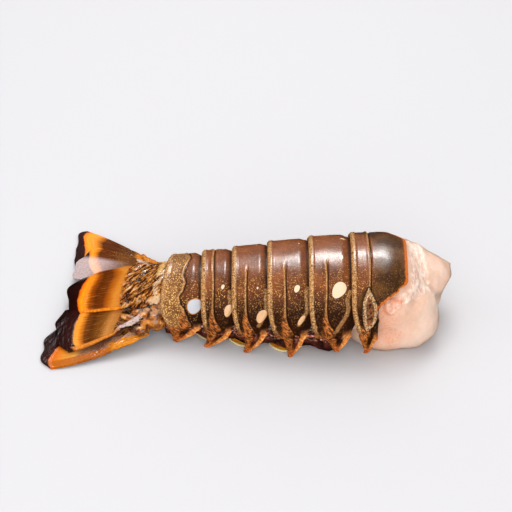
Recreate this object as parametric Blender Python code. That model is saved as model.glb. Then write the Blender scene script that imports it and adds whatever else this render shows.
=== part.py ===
"""A raw spiny lobster tail, shell side up, lying as it does on a fishmonger's slab.

Six overlapping shell plates wrap a core of raw flesh that bulges out of the cut end (+X).
Each plate ends in a tooth on both sides. The tail fan (-X) is a middle blade, the telson,
with two uropods on each side. Four pairs of swimmerets fold under the belly skin.

Sizes are in millimetres and MM turns them into Blender's metres. A place on the body is given by
    s    the distance along the body's axis, back from the cut edge of the first plate,
    y    the distance sideways from that axis, and z, the height above the slab.
The axis is straight at first and then bends a little sideways, as one arc, towards the fan.
"""

import math

import bmesh
import bpy
from mathutils import Vector

MM = 0.001
GAP = 0.4  # between neighbouring pieces
THICKNESS = 1.1  # of the shell plates

# The body's axis: where it starts, and the arc that turns the tail end aside. The plates stay
# square to the straight part, up to the last one, which makes the whole turn by itself.
AXIS_START = Vector((75.71, -14.51))
BEND_FROM = 55.0
BEND_TO = 120.0
TURN_FROM = 96.0
TURN_TO = 114.0
BEND = math.radians(9.0)

# The plates' outer section: half an ellipse on two upright sides.
HEIGHT_RATIO = 1.5  # of the section's height to its half-width
SIDE_SHARE = 1 / 3  # of the height, where the sides turn into the arch
SIDE_HOLLOW = 0.9  # how far the upright sides curve in
# The half-width at the cut edge, and then at the back edge of each plate.
HALF_WIDTHS = (31.0, 30.6, 29.3, 27.5, 25.2, 23.3, 21.0)

# Along one plate: its front is tucked under the plate ahead, and its rim rolls down behind.
TUCK = 2.6  # length that is hidden under the plate ahead
STEP = 2.2  # how much lower the front is than the rim
RISE = 0.3  # share of the length in which the front comes up
GROOVE_DEPTH = 0.7
GROOVE_SHARE = 0.54  # where the cross groove lies, from front to back
FIRST_GROOVE_SHARE = 0.655
RIM_ROLL = 0.6

# Each plate from the cut end: visible length, and then, as shares of that length, where its back
# edge meets its side, the front and the back of its tooth's root, and the tooth's tip. The last
# value is the tip's height above the slab.
PLATES = (
    ("plate_1", 26.5, 0.84, 0.56, 0.82, 0.71, 4.9),
    ("plate_2", 19.9, 1.00, 0.05, 0.58, 0.33, 5.3),
    ("plate_3", 19.5, 1.00, 0.10, 0.60, 0.44, 0.27),
    ("plate_4", 16.9, 1.00, 0.06, 0.63, 0.61, 0.43),
    ("plate_5", 14.6, 1.00, 0.05, 0.80, 0.86, 0.38),
    ("plate_6", 17.2, 0.76, 0.10, 0.76, 0.60, 1.3),
)
# The first plate's cut edge is full round the crown and then sweeps back on both sides. DOME_LEAN
# is how far the full part's middle lies to the near side.
DOME_LEAN = 0.12
DOME_HALF = 0.26
DOME_END = 0.58
DOME_SHARE = 0.53

# Where the grids' lines lie: along a plate, and round its arch and down its side.
PLATE_LINES = (0.0, 0.13, 0.26, 0.44, 0.51, 0.58, 0.88, 1.0)
ARCH_LINES = 16
SIDE_LINES = 5
TOOTH_TIP = 0.05  # width of a tooth's tip, as a share of the plate's length
NOTCH = 0.2  # how far down the side the tooth's root lies

# Under the body.
BELLY_HEIGHT = 9.0
BELLY_THICKNESS = 1.4
BELLY_INSET = 5.2  # in from the plates' half-width
BELLY_FROM, BELLY_TO = 33.0, 110.5
FLESH_INSET = 4.6
FLESH_FROM = 4.0
FLESH_BELLY_GAP = 1.4

# The bulge of flesh at the cut end, as lobes: centre (ahead of the cut edge, sideways, height),
# half-sizes, and turn about Z and Y in degrees. The first one slumps on the slab.
LOBES = (
    ((-9.0, -3.8, 9.0), (22.5, 23.5, 14.5), 0, 0),
    ((-7.0, -8.5, 18.0), (22.5, 17.5, 16.0), -6, 0),
    ((-3.5, 9.0, 24.0), (27.5, 17.0, 15.5), -4, 8),
    ((-1.5, 14.5, 17.0), (16.0, 13.0, 14.0), 12, 0),
    ((-5.0, 0.0, 21.8), (14.5, 26.0, 21.0), 0, 0),
)
FLESH_VOXEL = 3.3
FLESH_SMOOTHING = 3


# The fan, in a frame of its own: p runs from the last plate's edge to the tips, and q sideways.
TELSON = {
    "length": 50.0, "tuck": 2.4, "half_width": 16.0, "end_half_width": 14.6, "bulge": 6.0,
    "z_base": 29.0, "z_tip": 8.0, "camber_base": 8.3, "camber_tip": 0.8,
}
# Each uropod blade: root (p, q, z), heading away from the fan's axis, length, half-width, height of
# its tip, fall of its outer edge, how far its corners are rounded, and how far its outer corner leads.
ENDOPOD = {
    "root": (7.9, 17.3, 14.0), "heading": 12.0, "length": 43.0, "half_width": 13.8, "z_tip": 4.7,
    "tilt": 0.6, "bulge": 4.5, "lead": -0.8, "root_half_width": 3.6,
}
EXOPOD = {
    "root": (5.3, 21.6, 8.4), "heading": 15.5, "length": 51.1, "half_width": 13.8, "z_tip": 1.57,
    "tilt": 0.45, "bulge": 5.5, "lead": 2.8, "root_half_width": 4.6,
}
# The far pair opens wider than the near pair, and its blades are longer.
FAR_EXTRA_HEADING = 6.5
FAR_EXTRA_LENGTH = 2.5
HINGE_CENTRE = (1.7, 19.3, 11.8)
HINGE_HALF_SIZES = (4.8, 3.9, 5.2)

# The swimmerets: one pair under each of plates 2 to 5, with the plate's index, the leaf's length and
# how far short of the body's side it ends.
SWIMMERETS = ((1, 20.6, 4.4), (2, 20.2, 5.2), (3, 18.4, 6.0), (4, 15.6, 6.0))
SWIMMERET_ROOT = 0.9  # where it hangs, as a share of its plate's length
SWIMMERET_MIDDLE_GAP = 2.0
SWIMMERET_THICKNESS = 0.7
SWIMMERET_LOW = 1.3
SIDES = {"near": -1, "far": 1}


def clear_scene():
    for leftover in list(bpy.data.objects):
        bpy.data.objects.remove(leftover, do_unlink=True)


def finish(name, colour, roughness):
    """A plain Principled finish."""
    material = bpy.data.materials.new(name)
    material.use_nodes = True
    shader = material.node_tree.nodes["Principled BSDF"]
    shader.inputs["Base Color"].default_value = (*colour, 1.0)
    shader.inputs["Roughness"].default_value = roughness
    return material


def ease(x, start, end):
    """0 before start, 1 after end, and smooth between them."""
    share = min(1.0, max(0.0, (x - start) / (end - start)))
    return share * share * (3 - 2 * share)


def bump(x, middle, reach):
    """1 at middle, and 0 from reach away."""
    return 1 - ease(abs(x - middle), 0, reach)


def yaw_at(s):
    return BEND * min(1.0, max(0.0, (s - BEND_FROM) / (BEND_TO - BEND_FROM)))


def plate_yaw_at(s):
    return BEND * ease(s, TURN_FROM, TURN_TO)


def axis_at(s):
    """The axis's point at s: straight, then an arc, then straight again."""
    radius = (BEND_TO - BEND_FROM) / BEND
    yaw = yaw_at(s)
    straight = min(s, BEND_FROM)
    after = max(0.0, s - BEND_TO)
    x = -straight - radius * math.sin(yaw) - after * math.cos(yaw)
    y = radius * (1 - math.cos(yaw)) + after * math.sin(yaw)
    return AXIS_START + Vector((x, y))


def on_body(s, y, z):
    """A place on the body, in metres."""
    yaw = plate_yaw_at(s)
    spot = axis_at(s) + y * Vector((math.sin(yaw), math.cos(yaw)))
    return Vector((spot.x, spot.y, z)) * MM


def plate_starts():
    """The s at which each plate's visible part starts, and the s at which the last one ends."""
    starts = [0.0]
    for plate in PLATES:
        starts.append(starts[-1] + plate[1])
    return starts


STARTS = plate_starts()


def half_width_at(s):
    """Straight lines between the widths that HALF_WIDTHS gives."""
    for width, next_width, start, end in zip(HALF_WIDTHS, HALF_WIDTHS[1:], STARTS, STARTS[1:]):
        if s <= end:
            return width + (next_width - width) * (s - start) / (end - start)
    return HALF_WIDTHS[-1]


def section(s, turn, offset, tip_height=0.0):
    """(y, z) of the plates' section. turn is 0 on the crown, +-1 where the sides start and +-2 at a tooth's tip."""
    half_width = half_width_at(s)
    height = HEIGHT_RATIO * half_width
    spring = SIDE_SHARE * height
    side = math.copysign(1.0, turn)
    down = abs(turn) - 1
    if down <= 0:
        angle = abs(turn) * math.pi / 2
        y = (half_width + offset) * math.sin(angle)
        return side * y, spring + (height + offset - spring) * math.cos(angle)
    y = half_width + offset - SIDE_HOLLOW * math.sin(math.pi * down)
    return side * y, spring + (tip_height - spring) * down


def plate_offset(share, is_first):
    """How far a plate's outer face lies below its rim, from its front (share 0) to its back edge (1)."""
    front = 0.0 if is_first else -STEP * (1 - ease(share, 0.0, RISE))
    groove_at = FIRST_GROOVE_SHARE if is_first else GROOVE_SHARE
    groove = -GROOVE_DEPTH * bump(share, groove_at, 0.07)
    swell = -0.5 * (1 - ease(share, 0.1, 0.85))
    roll = -RIM_ROLL * ease(share, 0.9, 1.0)
    return front + groove + swell + roll


def plate_edges(plate, turn):
    """(front, back) of a plate as shares of its visible length, at a turn round the body."""
    name, length, corner, root_front, root_back, tip, _ = plate
    around = abs(turn)
    if name == "plate_1":
        front = DOME_SHARE * ease(abs(turn + DOME_LEAN), DOME_HALF, DOME_END)
    else:
        front = -TUCK / length * (1 - ease(around, 0.78, 0.98))
    down = around - 1
    if down <= 0:
        return front, 1.0 + (corner - 1.0) * ease(around, 0.7, 1.0)
    root_front = max(root_front, front)
    notch = ease(down, 0.0, NOTCH)
    front += (root_front - front) * notch
    front += (tip - root_front) * down**1.9
    back = corner + (root_back - corner) * notch
    back += (tip - root_back) * max(0.0, (down - NOTCH) / (1 - NOTCH)) ** 1.3
    return front, max(back, front + TOOTH_TIP)


def plate_point(index, share, turn):
    """A point of the outer face of a plate."""
    plate = PLATES[index]
    is_first = index == 0
    front, back = plate_edges(plate, turn)
    along = front + (back - front) * share
    s = STARTS[index] + along * plate[1]
    down = max(0.0, abs(turn) - 1)
    offset = plate_offset(along, is_first) * (1 - down) - 1.0 * down
    offset -= 1.1 * bump(down, 0.5, 0.42) * bump(share, 0.55, 0.42)  # the hollow in a tooth
    return on_body(s, *section(s, turn, offset, plate[-1]))


def turns():
    """Where a plate's lines run round the body, from the near tooth's tip to the far one's."""
    side = [1 + (step / SIDE_LINES) for step in range(1, SIDE_LINES + 1)]
    arch = [-1 + 2 * step / ARCH_LINES for step in range(ARCH_LINES + 1)]
    return [-t for t in reversed(side)] + arch + side


def sheet(name, along, across, place, thickness, material):
    """A grid of along by across lines, put in place and given a thickness inwards."""
    mesh = bpy.data.meshes.new(name)
    bm = bmesh.new()
    bmesh.ops.create_grid(bm, x_segments=len(along) - 1, y_segments=len(across) - 1, size=1)
    for vert in bm.verts:
        i = round((vert.co.x + 1) / 2 * (len(along) - 1))
        j = round((vert.co.y + 1) / 2 * (len(across) - 1))
        vert.co = place(along[i], across[j])
    if sum(face.normal.z for face in bm.faces) <= 0:
        bmesh.ops.recalc_face_normals(bm, faces=bm.faces)
    bm.normal_update()
    if sum(face.normal.z * face.calc_area() for face in bm.faces) < 0:
        bmesh.ops.reverse_faces(bm, faces=bm.faces)
    bm.to_mesh(mesh)
    bm.free()
    mesh.shade_smooth()
    mesh.set_sharp_from_angle(angle=math.radians(40))
    mesh.materials.append(material)
    made = bpy.data.objects.new(name, mesh)
    bpy.context.scene.collection.objects.link(made)
    solidify = made.modifiers.new("thickness", "SOLIDIFY")
    solidify.thickness = thickness * MM
    solidify.offset = -1
    return made


def shares(count):
    return [step / count for step in range(count + 1)]


def make_plates(material):
    for index, plate in enumerate(PLATES):
        sheet(
            plate[0], PLATE_LINES, turns(),
            lambda share, turn, index=index: plate_point(index, share, turn),
            THICKNESS, material,
        )


def belly_point(share, across):
    """The belly skin's upper face: flat under the flesh, with its edges turned up inside the plates."""
    s = BELLY_FROM + (BELLY_TO - BELLY_FROM) * share
    half = half_width_at(s) - BELLY_INSET
    spring = SIDE_SHARE * HEIGHT_RATIO * half_width_at(s)
    rise = max(0.0, spring + 1.0 - BELLY_HEIGHT) * abs(across) ** 5
    rib = 0.5 * math.cos(2 * math.pi * (s - STARTS[1]) / 18.3)
    return on_body(s, half * across, BELLY_HEIGHT + rise + rib * (1 - across * across))


def make_belly(material):
    return sheet(
        "belly_skin", shares(20), [2 * share - 1 for share in shares(10)],
        belly_point, BELLY_THICKNESS, material,
    )


def rounded(name, centre, half_sizes, turn_z, turn_y, segments=20, rings=12):
    """An ellipsoid, as a helper for a Boolean or as a piece of its own."""
    mesh = bpy.data.meshes.new(name)
    bm = bmesh.new()
    bmesh.ops.create_uvsphere(bm, u_segments=segments, v_segments=rings, radius=1)
    bmesh.ops.scale(bm, vec=Vector(half_sizes) * MM, verts=bm.verts)
    bm.to_mesh(mesh)
    bm.free()
    made = bpy.data.objects.new(name, mesh)
    made.location = Vector(centre) * MM
    made.rotation_euler = (0, math.radians(turn_y), math.radians(turn_z))
    bpy.context.scene.collection.objects.link(made)
    return made


def flesh_point(share, around):
    """The core of flesh inside the plates and on the belly skin; share runs from the cut end to the fan."""
    s = FLESH_FROM + (BELLY_TO - FLESH_FROM) * share
    half_width = half_width_at(s) - FLESH_INSET
    height = HEIGHT_RATIO * half_width_at(s) - FLESH_INSET
    floor = BELLY_HEIGHT + FLESH_BELLY_GAP + 0.5
    middle = SIDE_SHARE * HEIGHT_RATIO * half_width_at(s) + 1.6
    y = half_width * math.cos(around)
    z = middle + (height - middle) * math.sin(around)
    if math.sin(around) < 0:
        y *= 0.9
        z = middle + (middle - floor) * math.sin(around)
    return on_body(s, y, z)


def make_core(name):
    """The flesh inside the shell, as rings of points between two end caps."""
    stations, spokes = 12, 22
    mesh = bpy.data.meshes.new(name)
    bm = bmesh.new()
    loops = []
    for station in range(stations + 1):
        points = [
            flesh_point(station / stations, 2 * math.pi * spoke / spokes) for spoke in range(spokes)
        ]
        loops.append([bm.verts.new(point) for point in points])
    for ring, next_ring in zip(loops, loops[1:]):
        for k in range(spokes):
            after = (k + 1) % spokes
            bm.faces.new((ring[k], ring[after], next_ring[after], next_ring[k]))
    bm.faces.new(loops[0])
    bm.faces.new(loops[-1])
    bmesh.ops.recalc_face_normals(bm, faces=bm.faces)
    bm.to_mesh(mesh)
    bm.free()
    made = bpy.data.objects.new(name, mesh)
    bpy.context.scene.collection.objects.link(made)
    return made


def make_flesh(material):
    """Core and bulging lobes as one solid, cut flat where it rests on the slab."""
    flesh = make_core("flesh")
    helpers = bpy.data.collections.new("flesh lobes")
    bpy.context.scene.collection.children.link(helpers)
    for number, (centre, half_sizes, turn_z, turn_y) in enumerate(LOBES):
        centre = (AXIS_START.x + centre[0], AXIS_START.y + centre[1], centre[2])
        lobe = rounded(f"lobe_{number}", centre, half_sizes, turn_z, turn_y)
        bpy.context.scene.collection.objects.unlink(lobe)
        helpers.objects.link(lobe)
    helpers.hide_render = True
    join = flesh.modifiers.new("lobes", "BOOLEAN")
    join.operation = "UNION"
    join.operand_type = "COLLECTION"
    join.collection = helpers
    blend = flesh.modifiers.new("one skin", "REMESH")
    blend.mode = "VOXEL"
    blend.voxel_size = FLESH_VOXEL * MM
    blend.use_smooth_shade = True
    soften = flesh.modifiers.new("soft folds", "SMOOTH")
    soften.factor = 0.5
    soften.iterations = FLESH_SMOOTHING
    slab = bpy.data.objects.new("slab", bpy.data.meshes.new("slab"))
    bm = bmesh.new()
    bmesh.ops.create_cube(bm, size=0.3)
    bmesh.ops.translate(bm, vec=(0, 0, -0.15), verts=bm.verts)
    bm.to_mesh(slab.data)
    bm.free()
    slab.display_type = "WIRE"
    slab.hide_render = True
    bpy.context.scene.collection.objects.link(slab)
    rest = flesh.modifiers.new("rest", "BOOLEAN")
    rest.operation = "DIFFERENCE"
    rest.object = slab
    flesh.data.materials.append(material)
    return flesh


def in_fan(p, q, z):
    """A place in the fan: p out from the last plate's edge along the tail, q sideways."""
    return on_body(STARTS[-1] + p, q, z)


def telson_point(share, across):
    """A point of the telson's upper face. across is -1 on its near edge."""
    length, tuck = TELSON["length"], TELSON["tuck"]
    p = -tuck + (length + tuck) * share
    p -= TELSON["bulge"] * abs(across) ** 3.2 * (1 + 0.35 * across) * ease(share, 0.4, 1.0)
    half = TELSON["half_width"] + (TELSON["end_half_width"] - TELSON["half_width"]) * share
    half *= 1 - 0.05 * bump(share, 0.35, 0.35)
    z = TELSON["z_base"] + (TELSON["z_tip"] - TELSON["z_base"]) * share**0.85
    camber = TELSON["camber_base"] + (TELSON["camber_tip"] - TELSON["camber_base"]) * ease(share, -0.15, 1)
    return in_fan(p, half * across, z - camber * across * across)


def blade_point(blade, side, share, across):
    """A point of a uropod's upper face. across is +1 on the outer edge, away from the telson."""
    heading, length = blade["heading"], blade["length"]
    if side == SIDES["far"]:
        heading += FAR_EXTRA_HEADING
        length += FAR_EXTRA_LENGTH
    heading = math.radians(heading)
    root_p, root_q, root_z = blade["root"]
    widen = ease(share, -0.2, 0.95)
    half = blade["root_half_width"] + (blade["half_width"] - blade["root_half_width"]) * widen
    tipward = ease(share, 0.3, 1.0)
    out = length * share + (blade["lead"] * across - blade["bulge"] * abs(across) ** 3.0) * tipward
    p = root_p + out * math.cos(heading) - half * across * math.sin(heading)
    q = root_q + out * math.sin(heading) + half * across * math.cos(heading)
    z = root_z + (blade["z_tip"] - root_z) * share**0.8
    z -= blade["tilt"] * across * ease(share, 0, 0.5) + 1.2 * across * across * (1 - share)
    return in_fan(p, side * q, z)


def make_fan(hinge_material, blade_material):
    lines = [2 * share - 1 for share in shares(8)]
    sheet("telson", shares(9), lines, telson_point, THICKNESS, blade_material)
    for side_name, side in SIDES.items():
        for blade_name, blade in (("endopod", ENDOPOD), ("exopod", EXOPOD)):
            sheet(
                f"{side_name}_{blade_name}", shares(10), [2 * share - 1 for share in shares(6)],
                lambda share, across, blade=blade, side=side: blade_point(blade, side, share, across),
                THICKNESS, blade_material,
            )
        p, q, z = HINGE_CENTRE
        spot = in_fan(p, side * q, z) / MM
        turn = -math.degrees(BEND) - side * 12.0
        hinge = rounded(f"{side_name}_hinge", spot, HINGE_HALF_SIZES, turn, 0, segments=14, rings=10)
        hinge.data.materials.append(hinge_material)
        hinge.data.shade_smooth()


def swimmeret_point(index, side, length, short, share, across):
    """A leaf that hangs from the belly by its front edge and lies back under the next one."""
    s = STARTS[index] + SWIMMERET_ROOT * PLATES[index][1] + length * share
    inner, outer = SWIMMERET_MIDDLE_GAP, half_width_at(s) - short
    middle, reach = (inner + outer) / 2, (outer - inner) / 2
    reach *= math.sqrt(1 - (0.86 * (2 * share - 1)) ** 2)
    root = BELLY_HEIGHT - BELLY_THICKNESS - 0.5 - GAP
    z = root + (SWIMMERET_LOW - root) * ease(share, -0.1, 0.75)
    z -= 0.35 * ease(across, 0.4, 1.0) * ease(share, 0.4, 0.8)
    return on_body(s, side * (middle + reach * across), z)


def make_swimmerets(material):
    for index, length, short in SWIMMERETS:
        for side_name, side in SIDES.items():
            leaf = (index, side, length, short)
            sheet(
                f"{side_name}_swimmeret_{index + 1}", shares(6), [2 * share - 1 for share in shares(5)],
                lambda share, across, leaf=leaf: swimmeret_point(*leaf, share, across),
                SWIMMERET_THICKNESS, material,
            )


def main():
    clear_scene()
    shell = finish("shell", (0.12, 0.055, 0.028), 0.3)
    blades = finish("fan blades", (0.62, 0.24, 0.035), 0.35)
    raw_flesh = finish("raw flesh", (0.84, 0.62, 0.5), 0.4)
    skin = finish("belly skin", (0.55, 0.24, 0.12), 0.45)
    leaf = finish("swimmeret", (0.85, 0.45, 0.05), 0.4)
    make_plates(shell)
    make_belly(skin)
    make_flesh(raw_flesh)
    make_fan(shell, blades)
    make_swimmerets(leaf)


main()
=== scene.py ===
# %% [markdown]
# # A raw spiny lobster tail
# The tail lies shell side up: a fan on the left, six overlapping shell plates in the middle, and raw
# meat that bulges out of the cut end on the right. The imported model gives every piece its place, and
# this lesson dresses each one: fine shell relief, teeth, meat, fan blades and leaves under the belly.
# Everything is in metres in the model's own frame. Millimetres are easier to read at this size, so
# sizes are written in them and MM turns them into metres.

import math

import bmesh
import bpy
from mathutils import Matrix, Vector, noise


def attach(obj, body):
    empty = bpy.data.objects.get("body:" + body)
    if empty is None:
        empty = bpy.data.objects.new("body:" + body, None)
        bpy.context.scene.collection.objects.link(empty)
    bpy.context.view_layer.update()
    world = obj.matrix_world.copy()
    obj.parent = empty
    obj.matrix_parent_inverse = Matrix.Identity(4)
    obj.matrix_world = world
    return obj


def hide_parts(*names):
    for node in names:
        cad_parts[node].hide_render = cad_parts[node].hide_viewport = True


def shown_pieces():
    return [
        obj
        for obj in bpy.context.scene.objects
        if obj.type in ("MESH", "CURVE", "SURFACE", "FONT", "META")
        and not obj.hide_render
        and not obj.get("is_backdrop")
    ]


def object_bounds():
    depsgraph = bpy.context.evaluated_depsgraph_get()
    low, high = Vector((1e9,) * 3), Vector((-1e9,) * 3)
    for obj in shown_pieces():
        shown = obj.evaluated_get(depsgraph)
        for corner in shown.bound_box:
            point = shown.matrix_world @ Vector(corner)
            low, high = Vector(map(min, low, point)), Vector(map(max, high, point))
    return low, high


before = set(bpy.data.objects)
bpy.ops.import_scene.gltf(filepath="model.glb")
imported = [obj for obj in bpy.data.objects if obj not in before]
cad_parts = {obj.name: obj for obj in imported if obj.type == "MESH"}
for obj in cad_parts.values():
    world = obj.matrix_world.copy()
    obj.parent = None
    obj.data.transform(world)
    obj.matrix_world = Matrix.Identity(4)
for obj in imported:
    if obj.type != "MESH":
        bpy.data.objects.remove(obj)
cad_box = [list(corner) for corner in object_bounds()]
MM = 0.001
print("nodes:", sorted(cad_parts))

# %% [markdown]
# ## The camera
# A long lens far away keeps the plates nearly parallel, as in a catalogue picture. It looks down at
# 40 degrees from the near side. The camera is placed by three directions: right, up and backwards.

# %% Camera
AXIS_START = Vector((75.71, -14.51))  # where the body's axis meets the cut edge, in mm
CAMERA_DISTANCE, LENS = 900, 129.7  # mm
AIM_BEHIND_CUT, AIM_UP = 71.2, 31.07  # the picture's middle: mm behind the cut, and mm up the picture
elevation = math.radians(40)
camera_up = Vector((0, math.sin(elevation), math.cos(elevation)))
camera_back = Vector((0, -math.cos(elevation), math.sin(elevation)))
camera_target = Vector(((AXIS_START.x - AIM_BEHIND_CUT) * MM, AXIS_START.y * MM, 0))
camera_target += AIM_UP * MM * camera_up
camera = bpy.data.objects.new("camera", bpy.data.cameras.new("camera"))
camera.data.lens = LENS
turned = Matrix((Vector((1, 0, 0)), camera_up, camera_back)).transposed().to_4x4()
camera_place = camera_target + CAMERA_DISTANCE * MM * camera_back
camera.matrix_world = Matrix.Translation(camera_place) @ turned
bpy.context.scene.collection.objects.link(camera)
bpy.context.scene.camera = camera
print("camera at", [round(value, 3) for value in camera.matrix_world.translation])

# %% [markdown]
# ## The body's own coordinates
# A lobster's tail is a row of hoops along a bent axis. A place on it is given by s, the distance
# back from the cut edge along the axis, and by a turn round the hoop: 0 on the crown, 1 where the
# side starts, 2 at a tooth's tip, and negative on the near side. The plates and all that hangs
# from them are then easy to describe.

# %% Body coordinates
BEND_FROM, BEND_TO, BEND = 55.0, 120.0, math.radians(9.0)  # where the axis bends, and by how much
TURN_FROM, TURN_TO = 96.0, 114.0  # the last hoops turn with it
HEIGHT_RATIO, SIDE_SHARE = 1.5, 1 / 3  # height over half width; the share of it that is side
SIDE_HOLLOW = 0.9  # mm that the side curves in between the arch and the tooth's tip
HALF_WIDTHS = (31.0, 30.6, 29.3, 27.5, 25.2, 23.3, 21.0)  # where each plate starts, and at the end
LENGTHS = (26.5, 19.9, 19.5, 16.9, 14.6, 17.2)  # of the plates' visible parts
STARTS = [sum(LENGTHS[:count]) for count in range(len(LENGTHS) + 1)]
NEAR, FAR = -1, 1


def ease(x, start, end):
    """0 before start, 1 after end, and smooth between them."""
    share = min(1.0, max(0.0, (x - start) / (end - start)))
    return share * share * (3 - 2 * share)


def bump(x, middle, reach):
    """1 at middle, and 0 from reach away."""
    return 1 - ease(abs(x - middle), 0, reach)


def axis_at(s):
    """The axis seen from above, in mm: straight, bent, and straight again."""
    radius = (BEND_TO - BEND_FROM) / BEND
    yaw = BEND * min(1.0, max(0.0, (s - BEND_FROM) / (BEND_TO - BEND_FROM)))
    straight, after = min(s, BEND_FROM), max(0.0, s - BEND_TO)
    x = -straight - radius * math.sin(yaw) - after * math.cos(yaw)
    y = radius * (1 - math.cos(yaw)) + after * math.sin(yaw)
    return AXIS_START + Vector((x, y))


def on_body(s, y, z):
    """A place on the body, in metres."""
    yaw = BEND * ease(s, TURN_FROM, TURN_TO)
    spot = axis_at(s) + y * Vector((math.sin(yaw), math.cos(yaw)))
    return Vector((spot.x, spot.y, z)) * MM


def half_width_at(s):
    """Half the body's width in mm, even between the plates' starts."""
    for width, next_width, start, end in zip(HALF_WIDTHS, HALF_WIDTHS[1:], STARTS, STARTS[1:]):
        if s <= end:
            return width + (next_width - width) * (s - start) / (end - start)
    return HALF_WIDTHS[-1]


def section(s, turn, offset, tip_height):
    """(y, z) of a hoop's outer face, offset outwards."""
    half_width = half_width_at(s)
    height = HEIGHT_RATIO * half_width
    spring = SIDE_SHARE * height
    side, down = math.copysign(1.0, turn), abs(turn) - 1
    if down <= 0:
        angle = abs(turn) * math.pi / 2
        y = (half_width + offset) * math.sin(angle)
        return side * y, spring + (height + offset - spring) * math.cos(angle)
    y = half_width + offset - SIDE_HOLLOW * math.sin(math.pi * down)
    return side * y, spring + (tip_height - spring) * down


print("plates start at", [round(start, 1) for start in STARTS])

# %% [markdown]
# ## One way to make every thin piece
# Shell plates, fan blades and leaves are all thin curved sheets. Each starts as a flat grid. A
# function then moves every vertex to its place, another one notes facts about that spot, such as how
# far it is from the free edge, and Solidify gives the sheet its wall. The notes are stored on the
# mesh as named values, so that a finish can paint a rim or a groove exactly where the shape has it.

# %% Sheet maker
SLAB_GAP = 0.02 * MM  # nothing sinks into the slab


def keep_mesh(bm, mesh):
    """Writes an edited shape into a mesh."""
    bm.to_mesh(mesh)
    bm.free()
    return mesh


def new_piece(name, mesh):
    """A new object at the origin that rides on the tail."""
    made = bpy.data.objects.new(name, mesh)
    bpy.context.scene.collection.objects.link(made)
    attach(made, "root")
    return made


def settle(made, smooth_angle=50):
    """Turns the object's modifiers into plain mesh, shaded smooth except at sharp corners."""
    finished = made.evaluated_get(bpy.context.evaluated_depsgraph_get())
    solid, old = bpy.data.meshes.new_from_object(finished), made.data
    made.modifiers.clear()
    made.data = solid
    bpy.data.meshes.remove(old)
    for vert in solid.vertices:
        vert.co.z = max(vert.co.z, SLAB_GAP)
    solid.shade_smooth()
    solid.set_sharp_from_angle(angle=math.radians(smooth_angle))
    return made


def make_sheet(name, rows, columns, place, notes, thickness, upwards=1):
    """A grid of rows by columns; place(u, v) gives a point in metres, notes(u, v) named numbers."""
    bm = bmesh.new()
    bmesh.ops.create_grid(bm, x_segments=rows, y_segments=columns, size=1)
    bm.verts.index_update()
    skin = bm.loops.layers.uv.new("skin")
    corners = [((vert.co.x + 1) / 2, (vert.co.y + 1) / 2) for vert in bm.verts]
    noted = [notes(u, v) for u, v in corners]
    names = [key for key in noted[0] if key != "skin"]
    layers = {key: bm.verts.layers.float.new(key) for key in names}
    for vert, (u, v), note in zip(bm.verts, corners, noted):
        vert.co = place(u, v)
        for key in names:
            vert[layers[key]] = note[key]
    for face in bm.faces:
        for loop in face.loops:
            loop[skin].uv = noted[loop.vert.index]["skin"]
    bm.normal_update()
    if upwards * sum(face.normal.z * face.calc_area() for face in bm.faces) < 0:
        bmesh.ops.reverse_faces(bm, faces=bm.faces)
    made = new_piece(name, keep_mesh(bm, bpy.data.meshes.new(name)))
    wall = made.modifiers.new("wall", "SOLIDIFY")
    wall.thickness = thickness * MM
    wall.offset = -1
    return settle(made)


print("sheet maker ready")

# %% [markdown]
# ## The plates' edges
# Each plate is tucked under the one ahead and ends behind in a rolled rim. Low on both sides the rim
# sweeps forward to a small point, and from there the plate narrows to one tooth that hooks back.
# The first plate is different: its dome is cut back on both sides of the crown, where the tail was
# pulled from the head.

# %% Plate edges
TUCK = 2.6  # mm of a plate that lie under the one ahead
# name, corner, tooth root front and back, tip (shares of the visible length), and the tip's height
PLATES = (
    ("plate_1", 0.85, 0.56, 0.82, 0.71, 4.9),
    ("plate_2", 0.86, 0.05, 0.58, 0.33, 5.3),
    ("plate_3", 0.83, 0.10, 0.60, 0.44, 0.27),
    ("plate_4", 0.84, 0.06, 0.63, 0.61, 0.43),
    ("plate_5", 0.91, 0.05, 0.80, 0.86, 0.38),
    ("plate_6", 0.76, 0.10, 0.76, 0.60, 1.3),
)
# plate 1: its dome's lean to the near side and its edges, as turns, and how far the cut goes back
DOME_LEAN, DOME_HALF, DOME_END, DOME_SHARE = 0.12, 0.26, 0.58, 0.53
SMALL_TEETH = 0.03  # on the low part of the rim
NOTCH = 0.15  # the share of the side in which a plate narrows to its tooth
THINNEST = 0.05


def plate_edges(index, turn):
    """(front, back) of a plate at a turn, as shares of its visible length."""
    _, corner, root_front, root_back, tip, _ = PLATES[index]
    around = abs(turn)
    if index == 0:
        front = DOME_SHARE * ease(abs(turn + DOME_LEAN), DOME_HALF, DOME_END)
    else:
        front = -TUCK / LENGTHS[index] * (1 - ease(around, 0.78, 0.98))
    down = around - 1
    sweep = min(1.0, max(0.0, (around - 0.6) / 0.4)) ** 1.7
    if down <= 0:
        teeth = SMALL_TEETH * max(0.0, math.sin(around * 75)) * ease(around, 0.8, 0.9)
        return front, 1.0 + (corner - 1.0) * sweep - teeth
    root_front = max(root_front, front)
    front += (root_front - front) * ease(down, 0.0, 0.2)
    front += (tip - root_front) * down**1.9
    back = corner + (root_back - corner) * min(1.0, down / NOTCH) ** 0.8
    back += (tip - root_back) * max(0.0, (down - NOTCH) / (1 - NOTCH)) ** 1.3
    return front, max(back, front + THINNEST)


print("plate 3 near its corner:", [round(share, 2) for share in plate_edges(2, -1.0)])

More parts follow.
